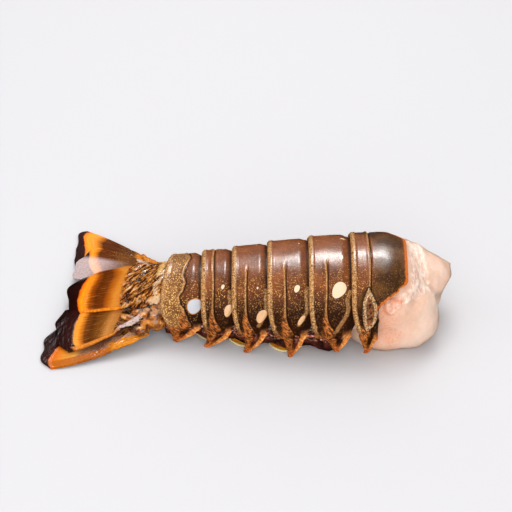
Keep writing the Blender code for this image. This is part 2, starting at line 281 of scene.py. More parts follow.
# %% [markdown]
# ## Marks on the plates
# A cross groove runs round every plate with a narrow raised lip just behind it. On plates 2 to 4 it
# fades on the crown, and on the last plate it wanders. Low on the sides of plates 2 to 5 a second
# ridge leaves the front edge and curves back to the tooth. Pale spots sit in the same places on each
# side, with a few single ones. Nearly all are given as (share of the plate's length, turn), the way
# they would be chalked on the shell.

# %% Marks
GROOVE_AT = (0.655, 0.56, 0.545, 0.56, 0.56)  # of plates 1 to 5
GROOVE_CURVE = (0.0, 0.22, 0.20, 0.22, 0.24)  # how far it curves forward low on the side
WANDER = (  # turn and share of the groove on plate 6
    (-0.93, 0.22), (-0.82, 0.30), (-0.70, 0.37), (-0.61, 0.47), (-0.52, 0.50), (-0.42, 0.41),
    (-0.32, 0.37), (-0.20, 0.44), (-0.12, 0.42), (-0.01, 0.37), (0.16, 0.31), (0.40, 0.42),
    (0.52, 0.50), (0.61, 0.47), (0.70, 0.37), (0.82, 0.30), (0.93, 0.22),
)
SHOULDERS = {
    1: (
        (0.03, -0.50), (0.10, -0.58), (0.07, -0.67), (0.11, -0.74), (0.20, -0.80), (0.29, -0.86),
        (0.36, -0.93),
    ),
    2: ((0.03, -0.45), (0.06, -0.52), (0.04, -0.63), (0.06, -0.72), (0.16, -0.78), (0.24, -0.84)),
    3: ((0.04, -0.45), (0.03, -0.54), (0.02, -0.65), (0.04, -0.73), (0.15, -0.80), (0.23, -0.86)),
    4: ((0.05, -0.45), (0.03, -0.58), (0.04, -0.67), (0.12, -0.75)),
}
LOBE = (  # a ringed swelling on each flank of plate 1
    (0.70, -0.46), (0.63, -0.54), (0.56, -0.62), (0.54, -0.70), (0.56, -0.78), (0.63, -0.86),
    (0.74, -0.90), (0.79, -0.82), (0.81, -0.70), (0.80, -0.60), (0.75, -0.52),
)
# plate, share, turn, width and height in mm, slant in degrees
SPOTS = (
    (5, 0.15, 0.65, 5.9, 7.4, 8), (4, 0.28, 0.39, 1.7, 2.6, 15), (4, 0.10, 0.69, 4.1, 6.2, 15),
    (3, 0.27, 0.42, 1.1, 1.4, 0), (3, 0.16, 0.75, 4.8, 6.6, 28), (2, 0.29, 0.45, 2.7, 3.9, 22),
    (2, 0.18, 0.79, 2.6, 5.6, 35), (1, 0.30, 0.48, 6.2, 8.4, 32),
)
SINGLE_SPOTS = (
    (2, 0.22, 0.18, 1.3, 1.0, 0), (1, 0.17, 0.21, 2.6, 1.8, 0), (1, 0.23, -0.12, 1.9, 2.9, 0),
    (3, 0.30, 0.30, 1.2, 0.9, 0), (4, 0.30, 0.42, 1.4, 1.0, 0),
)
SIDE_ARC = 14.0  # mm round a plate's side down to the tooth's tip
FAR_OFF = 9.0  # any distance beyond this counts as far away


def arc_at(s, turn):
    """How far round the hoop a turn is from the crown, in mm."""
    around = abs(turn)
    arc = half_width_at(s) * math.pi / 2 * min(1.0, around) + SIDE_ARC * max(0.0, around - 1)
    return math.copysign(arc, turn)


def flat_spot(index, share, turn):
    """A place on a plate as (mm back, mm round), for measuring between marks."""
    s = STARTS[index] + share * LENGTHS[index]
    return Vector((s, arc_at(s, turn)))


def to_line(spot, line):
    """The distance from a spot to a chain of points."""
    best = 1e9
    for start, end in zip(line, line[1:]):
        run = end - start
        share = min(1.0, max(0.0, (spot - start).dot(run) / run.length_squared))
        best = min(best, (spot - start - share * run).length)
    return best


def is_inside(spot, outline):
    """True when a closed outline goes round the spot."""
    inside = False
    for start, end in zip(outline, outline[1:] + outline[:1]):
        if (start.y > spot.y) != (end.y > spot.y):
            if spot.x < start.x + (end.x - start.x) * (spot.y - start.y) / (end.y - start.y):
                inside = not inside
    return inside


def depth_inside(spot, outline):
    """The distance from a spot to a closed outline, negative when the spot is outside."""
    away = to_line(spot, outline + outline[:1])
    return away if is_inside(spot, outline) else -away


def pale_depth(index, spot, mirrored):
    """How deep a spot lies in a pale mark, in mm; negative outside them all."""
    depth = -FAR_OFF
    for marks, point, side in ((SPOTS, mirrored, -1), (SINGLE_SPOTS, spot, 1)):
        for at, share, turn, width, height, slant in marks:
            if at != index:
                continue
            away, lean = point - flat_spot(index, share, side * turn), math.radians(slant)
            across = away.x * math.cos(lean) + away.y * math.sin(lean)
            tall = away.y * math.cos(lean) - away.x * math.sin(lean)
            across /= 1 + 0.35 * max(-1.0, min(1.0, tall / height))  # like an egg
            reach = math.hypot(across / (width / 2), tall / (height / 2))
            depth = max(depth, (1 - reach) * min(width, height) / 2)
    return depth


def groove_share(index, turn):
    """Where the cross groove lies at a turn; low on the side it becomes the hollow of the tooth."""
    front, back = plate_edges(index, turn)
    around = abs(turn)
    if index < 5:
        share = GROOVE_AT[index] + 0.008 * math.sin(9 * turn + 2 * index)
        curve = ease(around, 0.64, 0.98) * (0.35 + 0.65 * ease(around, 0.75, 0.98))
        share -= GROOVE_CURVE[index] * curve
    else:
        share = WANDER[-1][1]
        for (turn_a, share_a), (turn_b, share_b) in zip(WANDER, WANDER[1:]):
            if turn_a <= turn <= turn_b:
                share = share_a + (share_b - share_a) * ease(turn, turn_a, turn_b)
    return share + (front + 0.36 * (back - front) - share) * ease(around, 0.95, 1.12)


shoulder_lines = {
    index: [flat_spot(index, share, turn) for share, turn in line]
    for index, line in SHOULDERS.items()
}
lobe_outline = [flat_spot(0, share, turn) for share, turn in LOBE]
print("lobe of plate 1:", [round(value, 1) for value in lobe_outline[0]])

# %% [markdown]
# ## The plates' relief
# The marks above become relief: the front steps down under the plate ahead, the groove is cut in,
# its lip and the rolled rim stand up, and each tooth has a ridge behind, a hollow, and a raised edge
# in front. The same distances are stored as notes for the shell's finish.

# %% Plate relief
STEP = 2.0  # mm down from a plate's crown to where it slips under the one ahead


def plate_notes(index, share, turn):
    """Distances in mm and masks from 0 to 1 at one spot of a plate."""
    front, back = plate_edges(index, turn)
    along = front + (back - front) * share
    length = LENGTHS[index]
    s = STARTS[index] + along * length
    spot = Vector((s, arc_at(s, turn)))
    mirrored = Vector((s, -abs(spot.y)))
    around, down = abs(turn), max(0.0, abs(turn) - 1)
    behind = (along - groove_share(index, turn)) * length
    cut = 1.0
    if index in (1, 2, 3):  # the groove fades on the crown
        cut = ease(turn, 0.42, 0.62) if turn > 0 else ease(-turn, 0.1, 0.26)
    shoulder = to_line(mirrored, shoulder_lines[index]) if index in shoulder_lines else FAR_OFF
    lobe = depth_inside(mirrored, lobe_outline) if index == 0 else FAR_OFF
    return {
        "skin": (s, spot.y), "rim": (back - along) * length, "fore": (along - front) * length,
        "behind": behind, "cut": cut, "around": around, "shoulder": shoulder,
        "pale": pale_depth(index, spot, mirrored), "lobe": max(-FAR_OFF, min(FAR_OFF, lobe)),
        "down": down, "crown": turn, "along": along, "share": share, "wide": (back - front) * length,
    }


def hill(distance, width):
    """A rounded ridge: 1 on its line and nearly 0 beyond twice its width."""
    return math.exp(-((distance / width) ** 2))


def crumple(a, b, scale, seed):
    """Soft noise round 0 over a sheet; each seed gives another pattern."""
    return noise.noise(Vector((a * scale, b * scale, seed)))


def plate_relief(index, turn, note):
    """How far out the plate's face stands at a spot, in mm."""
    around, down, behind, along = note["around"], note["down"], note["behind"], note["along"]
    share, rim, wide, cut = note["share"], note["rim"], note["wide"], note["cut"]
    low = ease(around, 0.58, 1.0)
    tooth = ease(around, 0.86, 1.1)
    if index == 0:
        out = -1.7 * max(0.0, 1 - along / 0.42) ** 2 + 0.4 * bump(along, 0.36, 0.28)
    else:
        out = -STEP * (1 - ease(along, -0.05, 0.24)) * (1 - min(1.0, down * 3))
        out -= 0.5 * (1 - ease(along, 0.1, 0.85)) * (1 - down)
    # the groove, which opens into the tooth's hollow, and the lip behind it
    groove_width = 0.42 + 0.16 * wide * tooth * (1 - ease(down, 0.6, 1.0))
    out -= (0.5 + 1.3 * tooth * (1 - ease(down, 0.55, 0.95))) * hill(behind, groove_width) * cut
    lip_away = behind - 1.2 - 0.9 * low - 0.15 * wide * tooth
    lip_width = 0.75 + 1.2 * low * (1 - ease(down, 0.2, 0.8))
    out += (0.28 + 0.95 * low * (1 - 0.5 * down)) * hill(lip_away, lip_width) * cut
    # the rolled rim
    rim_band = ease(rim, 0.0, 0.9) * ease(3.1 - rim, 0.0, 0.9) * (1 - tooth)
    out += 0.34 * rim_band - (0.7 - 0.3 * tooth) * (1 - ease(rim, 0.0, 1.1))
    out -= 0.55 * low * bump(rim, 4.0, 2.2) * (1 - tooth)
    if note["shoulder"] < 6:
        out += 0.5 * hill(note["shoulder"], 0.9)
    # the tooth's raised front edge
    front_edge = 0.75 * hill(note["fore"] - 0.10 * wide, 0.09 * wide + 0.3) * (1 - down)
    out += tooth * front_edge - 1.0 * down
    if index == 0:
        lobe = note["lobe"]
        out += 0.5 * hill(lobe - 0.7, 0.75) - 0.35 * ease(lobe, 1.2, 2.6) - 0.5 * hill(lobe + 0.5, 0.6)
    broad = crumple(*note["skin"], 0.16, index * 7.0)
    knobs = crumple(*note["skin"], 0.9, index * 3.0)
    return out + 0.16 * broad + (0.015 + 0.145 * ease(around, 0.6, 1.0)) * knobs


def plate_place(index, share, turn):
    front, back = plate_edges(index, turn)
    s = STARTS[index] + (front + (back - front) * share) * LENGTHS[index]
    if index == 0 and share < 0.1:  # the torn part of the cut edge
        torn = bump(abs(turn + 0.05), 0.45, 0.2) * noise.noise(Vector((turn * 16, 0, 5)))
        s += 2.2 * max(0.0, torn) * (1 - share / 0.1)
    offset = plate_relief(index, turn, plate_notes(index, share, turn))
    return on_body(s, *section(s, turn, offset, PLATES[index][-1]))


def spread_turn(v):
    """Turns for v from 0 to 1, with more lines down the sides than round the arch."""
    if v < 0.2:
        return -2 + v / 0.2
    return 1 + (v - 0.8) / 0.2 if v > 0.8 else -1 + 2 * (v - 0.2) / 0.6


print("relief on plate 3's lip:", round(plate_relief(2, -0.5, plate_notes(2, 0.66, -0.5)), 2), "mm")

# %% [markdown]
# ## Making the plates
# Each plate is one sheet, fine enough that the groove and the lip are real geometry. It stands for
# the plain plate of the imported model.

# %% Plates
SHELL_WALL = 1.1  # mm
plate_pieces = []
for index, plate in enumerate(PLATES):
    piece = make_sheet(
        f"shell_{plate[0]}", 64 if index == 0 else 54, 250,
        lambda u, v, index=index: plate_place(index, u, spread_turn(v)),
        lambda u, v, index=index: plate_notes(index, u, spread_turn(v)),
        SHELL_WALL,
    )
    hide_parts(plate[0])
    plate_pieces.append(piece)
print("plates:", [len(piece.data.polygons) for piece in plate_pieces])

# %% [markdown]
# ## Skin under the shell
# Between the teeth one sees the dark skin that joins the plates, and underneath lies the belly skin
# with its cross ribs. Both are sheets again. The joint skin stands a little inside the plates' sides
# and is puckered, because it folds when the tail curls.

# %% Joint skin
JOINT_FROM, JOINT_TO = 27.0, 112.0
BELLY_HEIGHT, BELLY_INSET, BELLY_FROM, BELLY_TO, BELLY_WALL = 9.0, 5.2, 33.0, 110.5, 1.4
RIB_PITCH = 18.3  # mm from rib to rib, about a plate's length


def joint_place(side, share, down):
    """A place on the puckered skin inside the plates' sides; down goes from 0 to 1."""
    s = JOINT_FROM + (JOINT_TO - JOINT_FROM) * share
    half_width = half_width_at(s)
    spring = SIDE_SHARE * HEIGHT_RATIO * half_width
    low = 5.4 + 1.6 * math.sin(2 * math.pi * (s - STARTS[1] + 3) / RIB_PITCH)
    low += 6.0 * (1 - ease(s, JOINT_FROM, 34))
    z = spring + 2.0 - (spring + 2.0 - low) * down
    pucker = 0.8 * noise.noise(Vector((s * 0.45, down * 3.0, side * 5.0)))
    pucker += 0.3 * noise.noise(Vector((s, down * 8, 4)))
    y = half_width - 2.7 - 1.5 * down * down + pucker
    return on_body(s, side * y, z)


for side, side_name in ((NEAR, "near"), (FAR, "far")):
    piece = make_sheet(
        f"{side_name}_joint_skin", 130, 22,
        lambda u, v, side=side: joint_place(side, u, v),
        lambda u, v: {"skin": (100 * u, 14 * v), "down": v},
        0.6,
    )
print("joint skin faces:", len(piece.data.polygons))

# %% Belly skin
def rib_wave(s):
    """1 on a rib, -1 halfway between two."""
    return math.cos(2 * math.pi * (s - STARTS[1]) / RIB_PITCH)


def belly_place(share, across):
    s = BELLY_FROM + (BELLY_TO - BELLY_FROM) * share
    half = half_width_at(s) - BELLY_INSET
    spring = SIDE_SHARE * HEIGHT_RATIO * half_width_at(s)
    rise = max(0.0, spring + 1.0 - BELLY_HEIGHT) * abs(across) ** 5
    rib = 0.5 * rib_wave(s)
    crease = 0.16 * noise.noise(Vector((s * 0.5, across * 3, 2)))
    return on_body(s, half * across, BELLY_HEIGHT + rise + (rib + crease) * (1 - across * across))


def belly_notes(share, across):
    s = BELLY_FROM + (BELLY_TO - BELLY_FROM) * share
    return {"skin": (s, 24 * across), "rib": rib_wave(s)}


belly = make_sheet(
    "ribbed_belly_skin", 120, 60,
    lambda u, v: belly_place(u, 2 * v - 1), lambda u, v: belly_notes(u, 2 * v - 1), BELLY_WALL,
)
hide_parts("belly_skin")
print("belly skin faces:", len(belly.data.polygons))

# %% [markdown]
# ## The swimmerets
# Four pairs of soft leaves hang from the belly skin, each fixed by its front edge. They are the
# orange edges that peep out between the teeth. Each is a thin sheet whose outline is a rounded leaf,
# a little wavy at its root. The dark middle and the pale rim come later, with the finish.

# %% Swimmerets
LEAF_INNER = 2.0  # mm from the belly's middle line to a leaf
LEAF_WALL = 0.7
# plate, length, and how far the leaf stays short of the plate's side, in mm
LEAVES = ((1, 20.6, 4.4), (2, 20.2, 5.2), (3, 18.4, 6.0), (4, 15.6, 6.0))


def leaf_place(index, side, length, short, share, across):
    """A place on a leaf that starts under the rear of its plate and hangs down towards the slab."""
    s = STARTS[index] + 0.9 * LENGTHS[index] + length * share
    outer = half_width_at(s) - short
    middle, reach = (LEAF_INNER + outer) / 2, (outer - LEAF_INNER) / 2
    reach *= math.sqrt(1 - (0.86 * (2 * share - 1)) ** 2)
    root = BELLY_HEIGHT - BELLY_WALL - 0.5 - 0.4  # just under the skin's ribs
    z = root + (1.3 - root) * ease(share, -0.1, 0.75)
    z -= 0.35 * ease(across, 0.4, 1.0) * ease(share, 0.4, 0.8)
    z += 0.18 * math.sin(9 * across + 4 * share) * ease(share, 0.0, 0.3)
    return on_body(s, side * (middle + reach * across), z)


for index, length, short in LEAVES:
    for side, side_name in ((NEAR, "near"), (FAR, "far")):
        leaf = make_sheet(
            f"{side_name}_leaf_{index + 1}", 34, 34,
            lambda u, v, at=(index, side, length, short): leaf_place(*at, u, 2 * v - 1),
            lambda u, v, length=length: {
                "skin": (length * u, 11 * (2 * v - 1)), "across": 2 * v - 1,
                "edge": min(length * u + 3, length * (1 - u), 10 * (1 - abs(2 * v - 1))),
            },
            LEAF_WALL,
        )
        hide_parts(f"{side_name}_swimmeret_{index + 1}")
print("leaf faces:", len(leaf.data.polygons))

# %% [markdown]
# ## The fan
# The fan has a middle blade, the telson, and two blades on each side. All of them are stiff and
# rough near the body and turn into a thin springy membrane with fine rays towards the tips. The
# stiff part is raised and knobbly, with slanting grooves on the telson, the rays are shallow ripples,
# and the tips are gently scalloped.

# %% Telson
TELSON_LENGTH, TELSON_HALF = 50, 16  # mm
BLADE_HALF = 13  # mm, half a side blade's width


def in_fan(p, q, z):
    """A place in the fan: p out from the last plate, q sideways."""
    return on_body(STARTS[-1] + p, q, z)


def telson_relief(share, across):
    """Height of the telson's relief in mm: a knobbly stiff base, then fine rays."""
    p, q = TELSON_LENGTH * share, TELSON_HALF * across
    rough_to = 0.455 + 0.035 * crumple(p, q, 0.3, 2.0)
    rough = 1 - ease(share, rough_to - 0.03, rough_to + 0.02)
    grooves = abs(crumple(0.8 * (p + q), 0.28 * (q - p), 0.55, 9.0))
    base = 0.45 * crumple(p, q, 0.28, 4.0) - 1.1 * grooves + 0.16 * crumple(p, q, 1.4, 6.0)
    ridge = 1.0 * hill(p - 5.0 - 0.8 * crumple(q, 0, 0.25, 1.0), 2.4)
    ridge += 0.5 * hill(q + 14.4, 1.2) + 0.5 * hill(q - 14.2, 1.4)
    rays = 0.05 * math.sin(q * 5.2 + 0.8 * crumple(p, q, 0.1, 1.0)) * ease(share, 0.44, 0.5)
    sag = 0.35 * crumple(p, q, 0.12, 8.0) * ease(share, 0.4, 0.6)
    return rough * (0.55 + base) + ridge * (1 - ease(share, 0.36, 0.5)) + rays + sag


def telson_place(share, across):
    p = -2.4 + (TELSON_LENGTH + 2.4) * share
    rounded = 3.8 * ease(share, 0.4, 1.0) + 3.6 * ease(share, 0.8, 1.0)
    p -= abs(across) ** 3 * (1 + 0.2 * across) * rounded
    p += (1.0 * math.sin(5.5 * across + 1.0) - 0.7) * ease(share, 0.85, 1.0)
    half = 16.0 + (14.6 - 16.0) * share
    half *= 1 - 0.05 * bump(share, 0.35, 0.35)
    z = 29.0 + (8.0 - 29.0) * share**0.85
    camber = 8.3 + (0.8 - 8.3) * ease(share, -0.15, 1)
    z += telson_relief(share, across) - 0.35 - camber * across * across
    z -= 0.9 * ease(-across, 0.8, 1.0) * ease(share, 0.1, 0.4)
    z += 2.2 * ease(across, 0.3, 1.0) * bump(share, 0.42, 0.36)
    return in_fan(p, half * across, z)


def fan_notes(length, half, relief, share, across):
    """What a blade's finish needs to know: how far out, how far across, and how high."""
    return {
        "skin": (length * share, half * across), "station": share, "across": across,
        "relief": relief(share, across),
    }


telson = make_sheet(
    "fan_telson", 130, 90,
    lambda u, v: telson_place(u, 2 * v - 1),
    lambda u, v: fan_notes(TELSON_LENGTH, 15.5, telson_relief, u, 2 * v - 1),
    SHELL_WALL,
)
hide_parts("telson")
print("telson faces:", len(telson.data.polygons))

# %% [markdown]
# ## The side blades
# The inner blade lies on the outer one. Each has a strong ridge: on the inner blade it runs from the
# joint along the outer edge, and the outer blade has a thick base plate with a ridge across its end.

# %% Side blades
# far_opens: degrees and mm by which the far blade opens wider and reaches further
ENDOPOD = {
    "root": (7.9, 17.3, 14.0), "heading": 12.0, "length": 43.0, "half_width": 13.8, "z_tip": 4.7,
    "tilt": 0.6, "bulge": 4.5, "lead": -0.8, "root_half_width": 3.6, "far_opens": (0.5, 1.5),
}
EXOPOD = {
    "root": (5.3, 21.6, 8.4), "heading": 15.5, "length": 51.1, "half_width": 13.8, "z_tip": 1.57,
    "tilt": 0.45, "bulge": 5.5, "lead": 2.8, "root_half_width": 4.6, "far_opens": (6.5, 2.5),
}


def endopod_relief(share, across):
    p, q = ENDOPOD["length"] * share, BLADE_HALF * across
    rough = 1 - ease(share - 0.06 * across, 0.20, 0.30)
    knobs = 0.45 * crumple(p, q, 0.6, 3.0) + 0.3 * crumple(p, q, 1.1, 5.0)
    lump_line = 0.42 + 0.5 * ease(share, 0.0, 0.26)
    lump = 2.3 * hill((across - lump_line) * 9, 2.9)
    lump *= ease(share, -0.02, 0.06) * (1 - ease(share, 0.27, 0.36))
    spine = 0.55 * hill((across - 0.93) * 12, 1.0)
    spine *= ease(share, 0.2, 0.34) * (1 - 0.6 * ease(share, 0.7, 0.95))
    rays = 0.05 * math.sin(q * 5.4) * ease(share, 0.28, 0.36)
    lift = 1.7 * ease(-across, 0.45, 1.0)
    lift *= ease(share, 0.05, 0.3) * (1 - 0.5 * ease(share, 0.75, 1.0))
    sag = 0.3 * crumple(p, q, 0.12, 3.0) * ease(share, 0.4, 0.6)
    return rough * (0.2 + knobs) + lump + spine + rays + lift + sag


def exopod_relief(share, across):
    p, q = 51 * share, BLADE_HALF * across
    end = 0.20 + 0.16 * ease(across, 0.0, 1.0)
    plate = 1 - ease(share, end - 0.015, end + 0.02)
    lip = 0.9 * hill((share - end + 0.02) * 51, 1.2) * ease(across, -0.3, 0.2)
    outer = 0.5 * hill((across - 0.8) * 12, 1.6) * (1 - ease(share, 0.36, 0.5))
    rays = 0.05 * math.sin(q * 5.4) * ease(share, 0.34, 0.42)
    crinkle = 0.4 * crumple(p, q, 0.8, 2.0) * ease(share, 0.3, 0.36) * (1 - ease(share, 0.5, 0.6))
    return 0.55 * plate + 0.25 * plate * crumple(p, q, 0.5, 7.0) + lip + outer + rays + crinkle


def blade_place(blade, side, relief, share, across):
    """A place on a side blade: share goes out to the tip, across from the telson's side outwards."""
    far = side == FAR
    inner = blade is ENDOPOD
    turn_out, longer = blade["far_opens"] if far else (0.0, 0.0)
    heading = math.radians(blade["heading"] + turn_out)
    length = blade["length"] + longer
    root_p, root_q, root_z = blade["root"]
    widen = ease(share, -0.2, 0.95)
    if not inner and across > 0:
        across *= 0.55 + 0.45 * ease(share, -0.05, 0.16)  # the outer corner of the root is rounded
    half = blade["root_half_width"] + (blade["half_width"] - blade["root_half_width"]) * widen
    tipward = ease(share, 0.3, 1.0)
    out = length * share + (blade["lead"] * across - blade["bulge"] * abs(across) ** 3.0) * tipward
    if far and not inner:  # its outer corner is fuller
        out += (5.6 * ease(across, -0.1, 0.7) + 0.6 * ease(across, 0.6, 1.0)) * tipward
        half *= 0.95
    out += (0.7 * math.sin(7 * across + 2 * side) - 0.7) * ease(share, 0.85, 1.0)
    if far and inner:
        half *= 0.9
    p = root_p + out * math.cos(heading) - half * across * math.sin(heading)
    q = root_q + out * math.sin(heading) + half * across * math.cos(heading)
    z = root_z + (blade["z_tip"] - root_z) * share**0.8
    z -= blade["tilt"] * across * ease(share, 0, 0.5) + 1.2 * across * across * (1 - share)
    if far and inner:
        z += 1.3 * across * ease(share, 0.2, 0.5) - 0.2  # it leans towards the telson
        return in_fan(p, side * q, z + min(0.8, relief(share, across)) * 0.6)
    return in_fan(p, side * q, max(1.15, z + relief(share, across)))


BLADES = (("endopod", ENDOPOD, endopod_relief), ("exopod", EXOPOD, exopod_relief))
blades = {}
for side, side_name in ((NEAR, "near"), (FAR, "far")):
    for blade_name, blade, relief in BLADES:
        piece = make_sheet(
            f"{side_name}_fan_{blade_name}", 120, 70,
            lambda u, v, at=(blade, side, relief): blade_place(*at, u, 2 * v - 1),
            lambda u, v, at=(blade["length"], BLADE_HALF, relief): fan_notes(*at, u, 2 * v - 1),
            SHELL_WALL,
        )
        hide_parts(f"{side_name}_{blade_name}")
        blades[side_name, blade_name] = piece
print("side blades:", len(blades))

# %% [markdown]
# ## The joint lumps
# The two blades of a side grow from a knobbly joint beside the telson. It is a main lump with some
# smaller knobs that run onto the blades: overlapping balls, melted into one by a voxel remesh and
# then crumpled by noise.

# %% Joint lumps
def add_ball(bm, centre, half_sizes, turn_z=0.0, turn_y=0.0):
    """A stretched and turned ball; centre in metres, sizes in mm, turns in degrees."""
    made = bmesh.ops.create_icosphere(bm, subdivisions=4, radius=1)["verts"]
    bmesh.ops.scale(bm, vec=Vector(half_sizes) * MM, verts=made)
    lean = Matrix.Rotation(math.radians(turn_z), 3, "Z") @ Matrix.Rotation(math.radians(turn_y), 3, "Y")
    bmesh.ops.rotate(bm, matrix=lean, verts=made)
    bmesh.ops.translate(bm, vec=centre, verts=made)


def melt_together(piece, voxel, rounds):
    """Voxel remesh and smoothing, applied."""
    melt = piece.modifiers.new("one skin", "REMESH")
    melt.mode = "VOXEL"
    melt.voxel_size = voxel * MM
    soften = piece.modifiers.new("soft folds", "SMOOTH")
    soften.factor, soften.iterations = 0.5, rounds
    return settle(piece, 180)


# place in the fan (out, sideways, height), half-sizes, turn
KNOBS = (
    ((1.7, 19.3, 11.8), (4.7, 3.8, 5.0), 0), ((6.3, 15.8, 14.4), (3.6, 2.4, 2.2), 10),
    ((10.0, 17.4, 13.9), (4.4, 2.6, 2.0), -14), ((5.6, 20.8, 11.4), (3.8, 3.0, 2.7), 0),
    ((14.5, 19.6, 12.6), (4.8, 1.9, 1.7), -16), ((8.4, 23.6, 8.9), (4.6, 3.4, 2.2), -16),
    ((4.4, 17.2, 15.6), (2.4, 2.0, 1.8), 0), ((11.5, 14.6, 13.6), (2.2, 1.6, 1.5), 0),
    ((0.6, 16.6, 16.8), (4.4, 2.4, 3.0), 0),
)
for side, side_name in ((NEAR, "near"), (FAR, "far")):
    bm = bmesh.new()
    for (p, q, z), half_sizes, turn in KNOBS:
        add_ball(bm, in_fan(p, side * q, z), half_sizes, -9.0 - side * turn)
    mesh = keep_mesh(bm, bpy.data.meshes.new(f"{side_name}_fan_joint"))
    joint = melt_together(new_piece(f"{side_name}_fan_joint", mesh), 0.4, 4)
    bm = bmesh.new()
    bm.from_mesh(joint.data)
    bm.normal_update()
    raised = bm.verts.layers.float.new("relief")
    for vert in bm.verts:
        spot = vert.co / MM
        swell = 0.45 * noise.noise(spot * 0.35) - 0.35 * abs(noise.noise(spot * 0.6))
        swell += 0.12 * noise.noise(spot * 1.4)
        vert[raised] = swell
        vert.co += vert.normal * swell * MM
    keep_mesh(bm, joint.data)
    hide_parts(f"{side_name}_hinge")
print("joint lump faces:", len(joint.data.polygons))

# %% [markdown]
# ## The meat
# The raw meat is soft: an upper lobe that points outwards, and a rounded lower lobe that slumps on
# the slab. Overlapping balls give the lobes, and a core drawn out of one ring fills the shell. A
# voxel remesh melts them into one skin. Small folds and fibres follow in the next step, and the
# underside is laid flat.

# %% Meat
FLESH_INSET, FLESH_FROM = 4.6, 4.0
RINGS = 30
# centre from the cut edge's axis and half-sizes in mm, turns about the upright and the cross axis
LOBES = (
    ((-9.0, -3.8, 9.0), (22.5, 23.5, 14.5), 0, 0),
    ((-7.0, -8.5, 18.0), (22.5, 17.5, 16.0), -6, 0),
    ((-3.5, 9.0, 24.0), (27.5, 17.0, 15.5), -4, 8),
    ((-1.5, 14.5, 17.0), (16.0, 13.0, 14.0), 12, 0),
    ((-5.0, 0.0, 21.8), (14.5, 26.0, 21.0), 0, 0),
    ((0.0, -11.0, 11.5), (16.6, 16.0, 14.5), -8, 0),
    ((4.0, 6.0, 11.0), (16.0, 9.0, 11.0), 0, 0),
    ((13.0, 12.5, 25.5), (10.0, 8.0, 7.5), 0, 0),
)


def core_place(share, around):
    """The meat inside the shell."""
    s = FLESH_FROM + (BELLY_TO - FLESH_FROM) * share
    half_width = half_width_at(s) - FLESH_INSET
    height = HEIGHT_RATIO * half_width_at(s) - FLESH_INSET
    floor = BELLY_HEIGHT + 1.9
    middle = SIDE_SHARE * HEIGHT_RATIO * half_width_at(s) + 1.6
    y, z = half_width * math.cos(around), middle + (height - middle) * math.sin(around)
    if math.sin(around) < 0:
        y *= 0.9
        z = middle + (middle - floor) * math.sin(around)
    return on_body(s, y, z)


bm = bmesh.new()
ring = bmesh.ops.create_circle(bm, segments=40, radius=1, cap_ends=True)["verts"]
angles = {vert: math.atan2(vert.co.y, vert.co.x) for vert in ring}
for vert, angle in angles.items():
    vert.co = core_place(0, angle)
cap = bm.faces[:]
for step in range(1, RINGS + 1):
    out = bmesh.ops.extrude_face_region(bm, geom=cap)
    fresh = [item for item in out["geom"] if isinstance(item, bmesh.types.BMVert)]
    if step > 1:
        bmesh.ops.delete(bm, geom=cap, context="FACES_ONLY")
    cap = [item for item in out["geom"] if isinstance(item, bmesh.types.BMFace)]
    for vert in fresh:
        before = (step - 1) / RINGS
        nearest = min(angles.values(), key=lambda angle: (core_place(before, angle) - vert.co).length)
        vert.co = core_place(step / RINGS, nearest)
for centre, half_sizes, turn_z, turn_y in LOBES:
    place = Vector((AXIS_START.x + centre[0], AXIS_START.y + centre[1], centre[2])) * MM
    add_ball(bm, place, half_sizes, turn_z, turn_y)
bmesh.ops.recalc_face_normals(bm, faces=bm.faces)
mesh = keep_mesh(bm, bpy.data.meshes.new("raw_meat"))
meat = melt_together(new_piece("raw_meat", mesh), 0.9, 16)
print("meat faces:", len(meat.data.polygons))

# %% [markdown]
# ## Facets, folds and veils of the meat
# Cut meat isn't all round: the upper lobe ends in flat facets where the knife went. A facet is made
# by pushing back whatever stands beyond a straight line, as seen from the camera. Thin white strands
# and a veil of connective skin lie over the meat near the shell. Their lines are given in the same
# picture plane, in mm right of and above its middle, and they raise the surface a little.

# %% Meat details
FACETS = (((80.5, 4.2), (95.4, -3.9)), ((95.4, -3.9), (95.7, -8.5)), ((95.7, -8.5), (88.8, -20.5)))
STRANDS = (
    ((74.1, 8.3), (76.6, 0.5), (79.0, -5.9), (82.0, -13.2), (83.4, -15.1)),
    ((78.0, 8.3), (80.0, 2.9), (82.0, -2.9), (83.4, -9.3), (83.4, -15.1)),
    ((83.4, -8.3), (83.4, -14.6), (80.0, -19.5), (74.1, -21.5), (69.3, -23.9)),
    ((83.4, -15.1), (86.8, -19.0), (88.8, -22.9), (89.3, -26.3), (89.0, -30.0)),
    ((82.0, -14.1), (76.1, -16.6), (70.2, -20.0), (64.4, -25.4)),
    ((80.0, -20.0), (72.7, -22.4), (66.3, -27.3)),
    ((76.0, 4.0), (78.0, -4.0), (79.5, -11.0), (77.0, -17.5), (70.0, -22.0)),
)
VEIL = (
    (73.5, 9.0), (80.5, 8.5), (84.2, -3.0), (84.2, -16.5), (77.5, -21.5), (67.8, -27.5),
    (62.5, -27.5), (69.3, -20.0), (74.6, -14.1),
)
FLAP = (
    (62.6, -20.4), (65.5, -20.2), (68.4, -21.8), (70.8, -22.2), (71.4, -24.4), (69.0, -25.6),
    (67.4, -28.2), (64.6, -28.6), (62.8, -26.2),
)
SHELL_EDGE = ((63.0, -21.5), (62.0, -30.0), (64.0, -38.0))  # beside which the meat is warmer
LAST_CUT = Vector((0.872, -0.489))  # the way the lowest facet faces
MEAT_SHOWS = 22 * MM  # how far inside the cut edge the details still go


def seen_at(point):
    """Where a point in metres lies in the picture plane, in mm."""
    away = (point - camera_target) / MM
    nearer = CAMERA_DISTANCE / (CAMERA_DISTANCE - away.dot(camera_back))
    return Vector((away.x, away.dot(camera_up))) * nearer


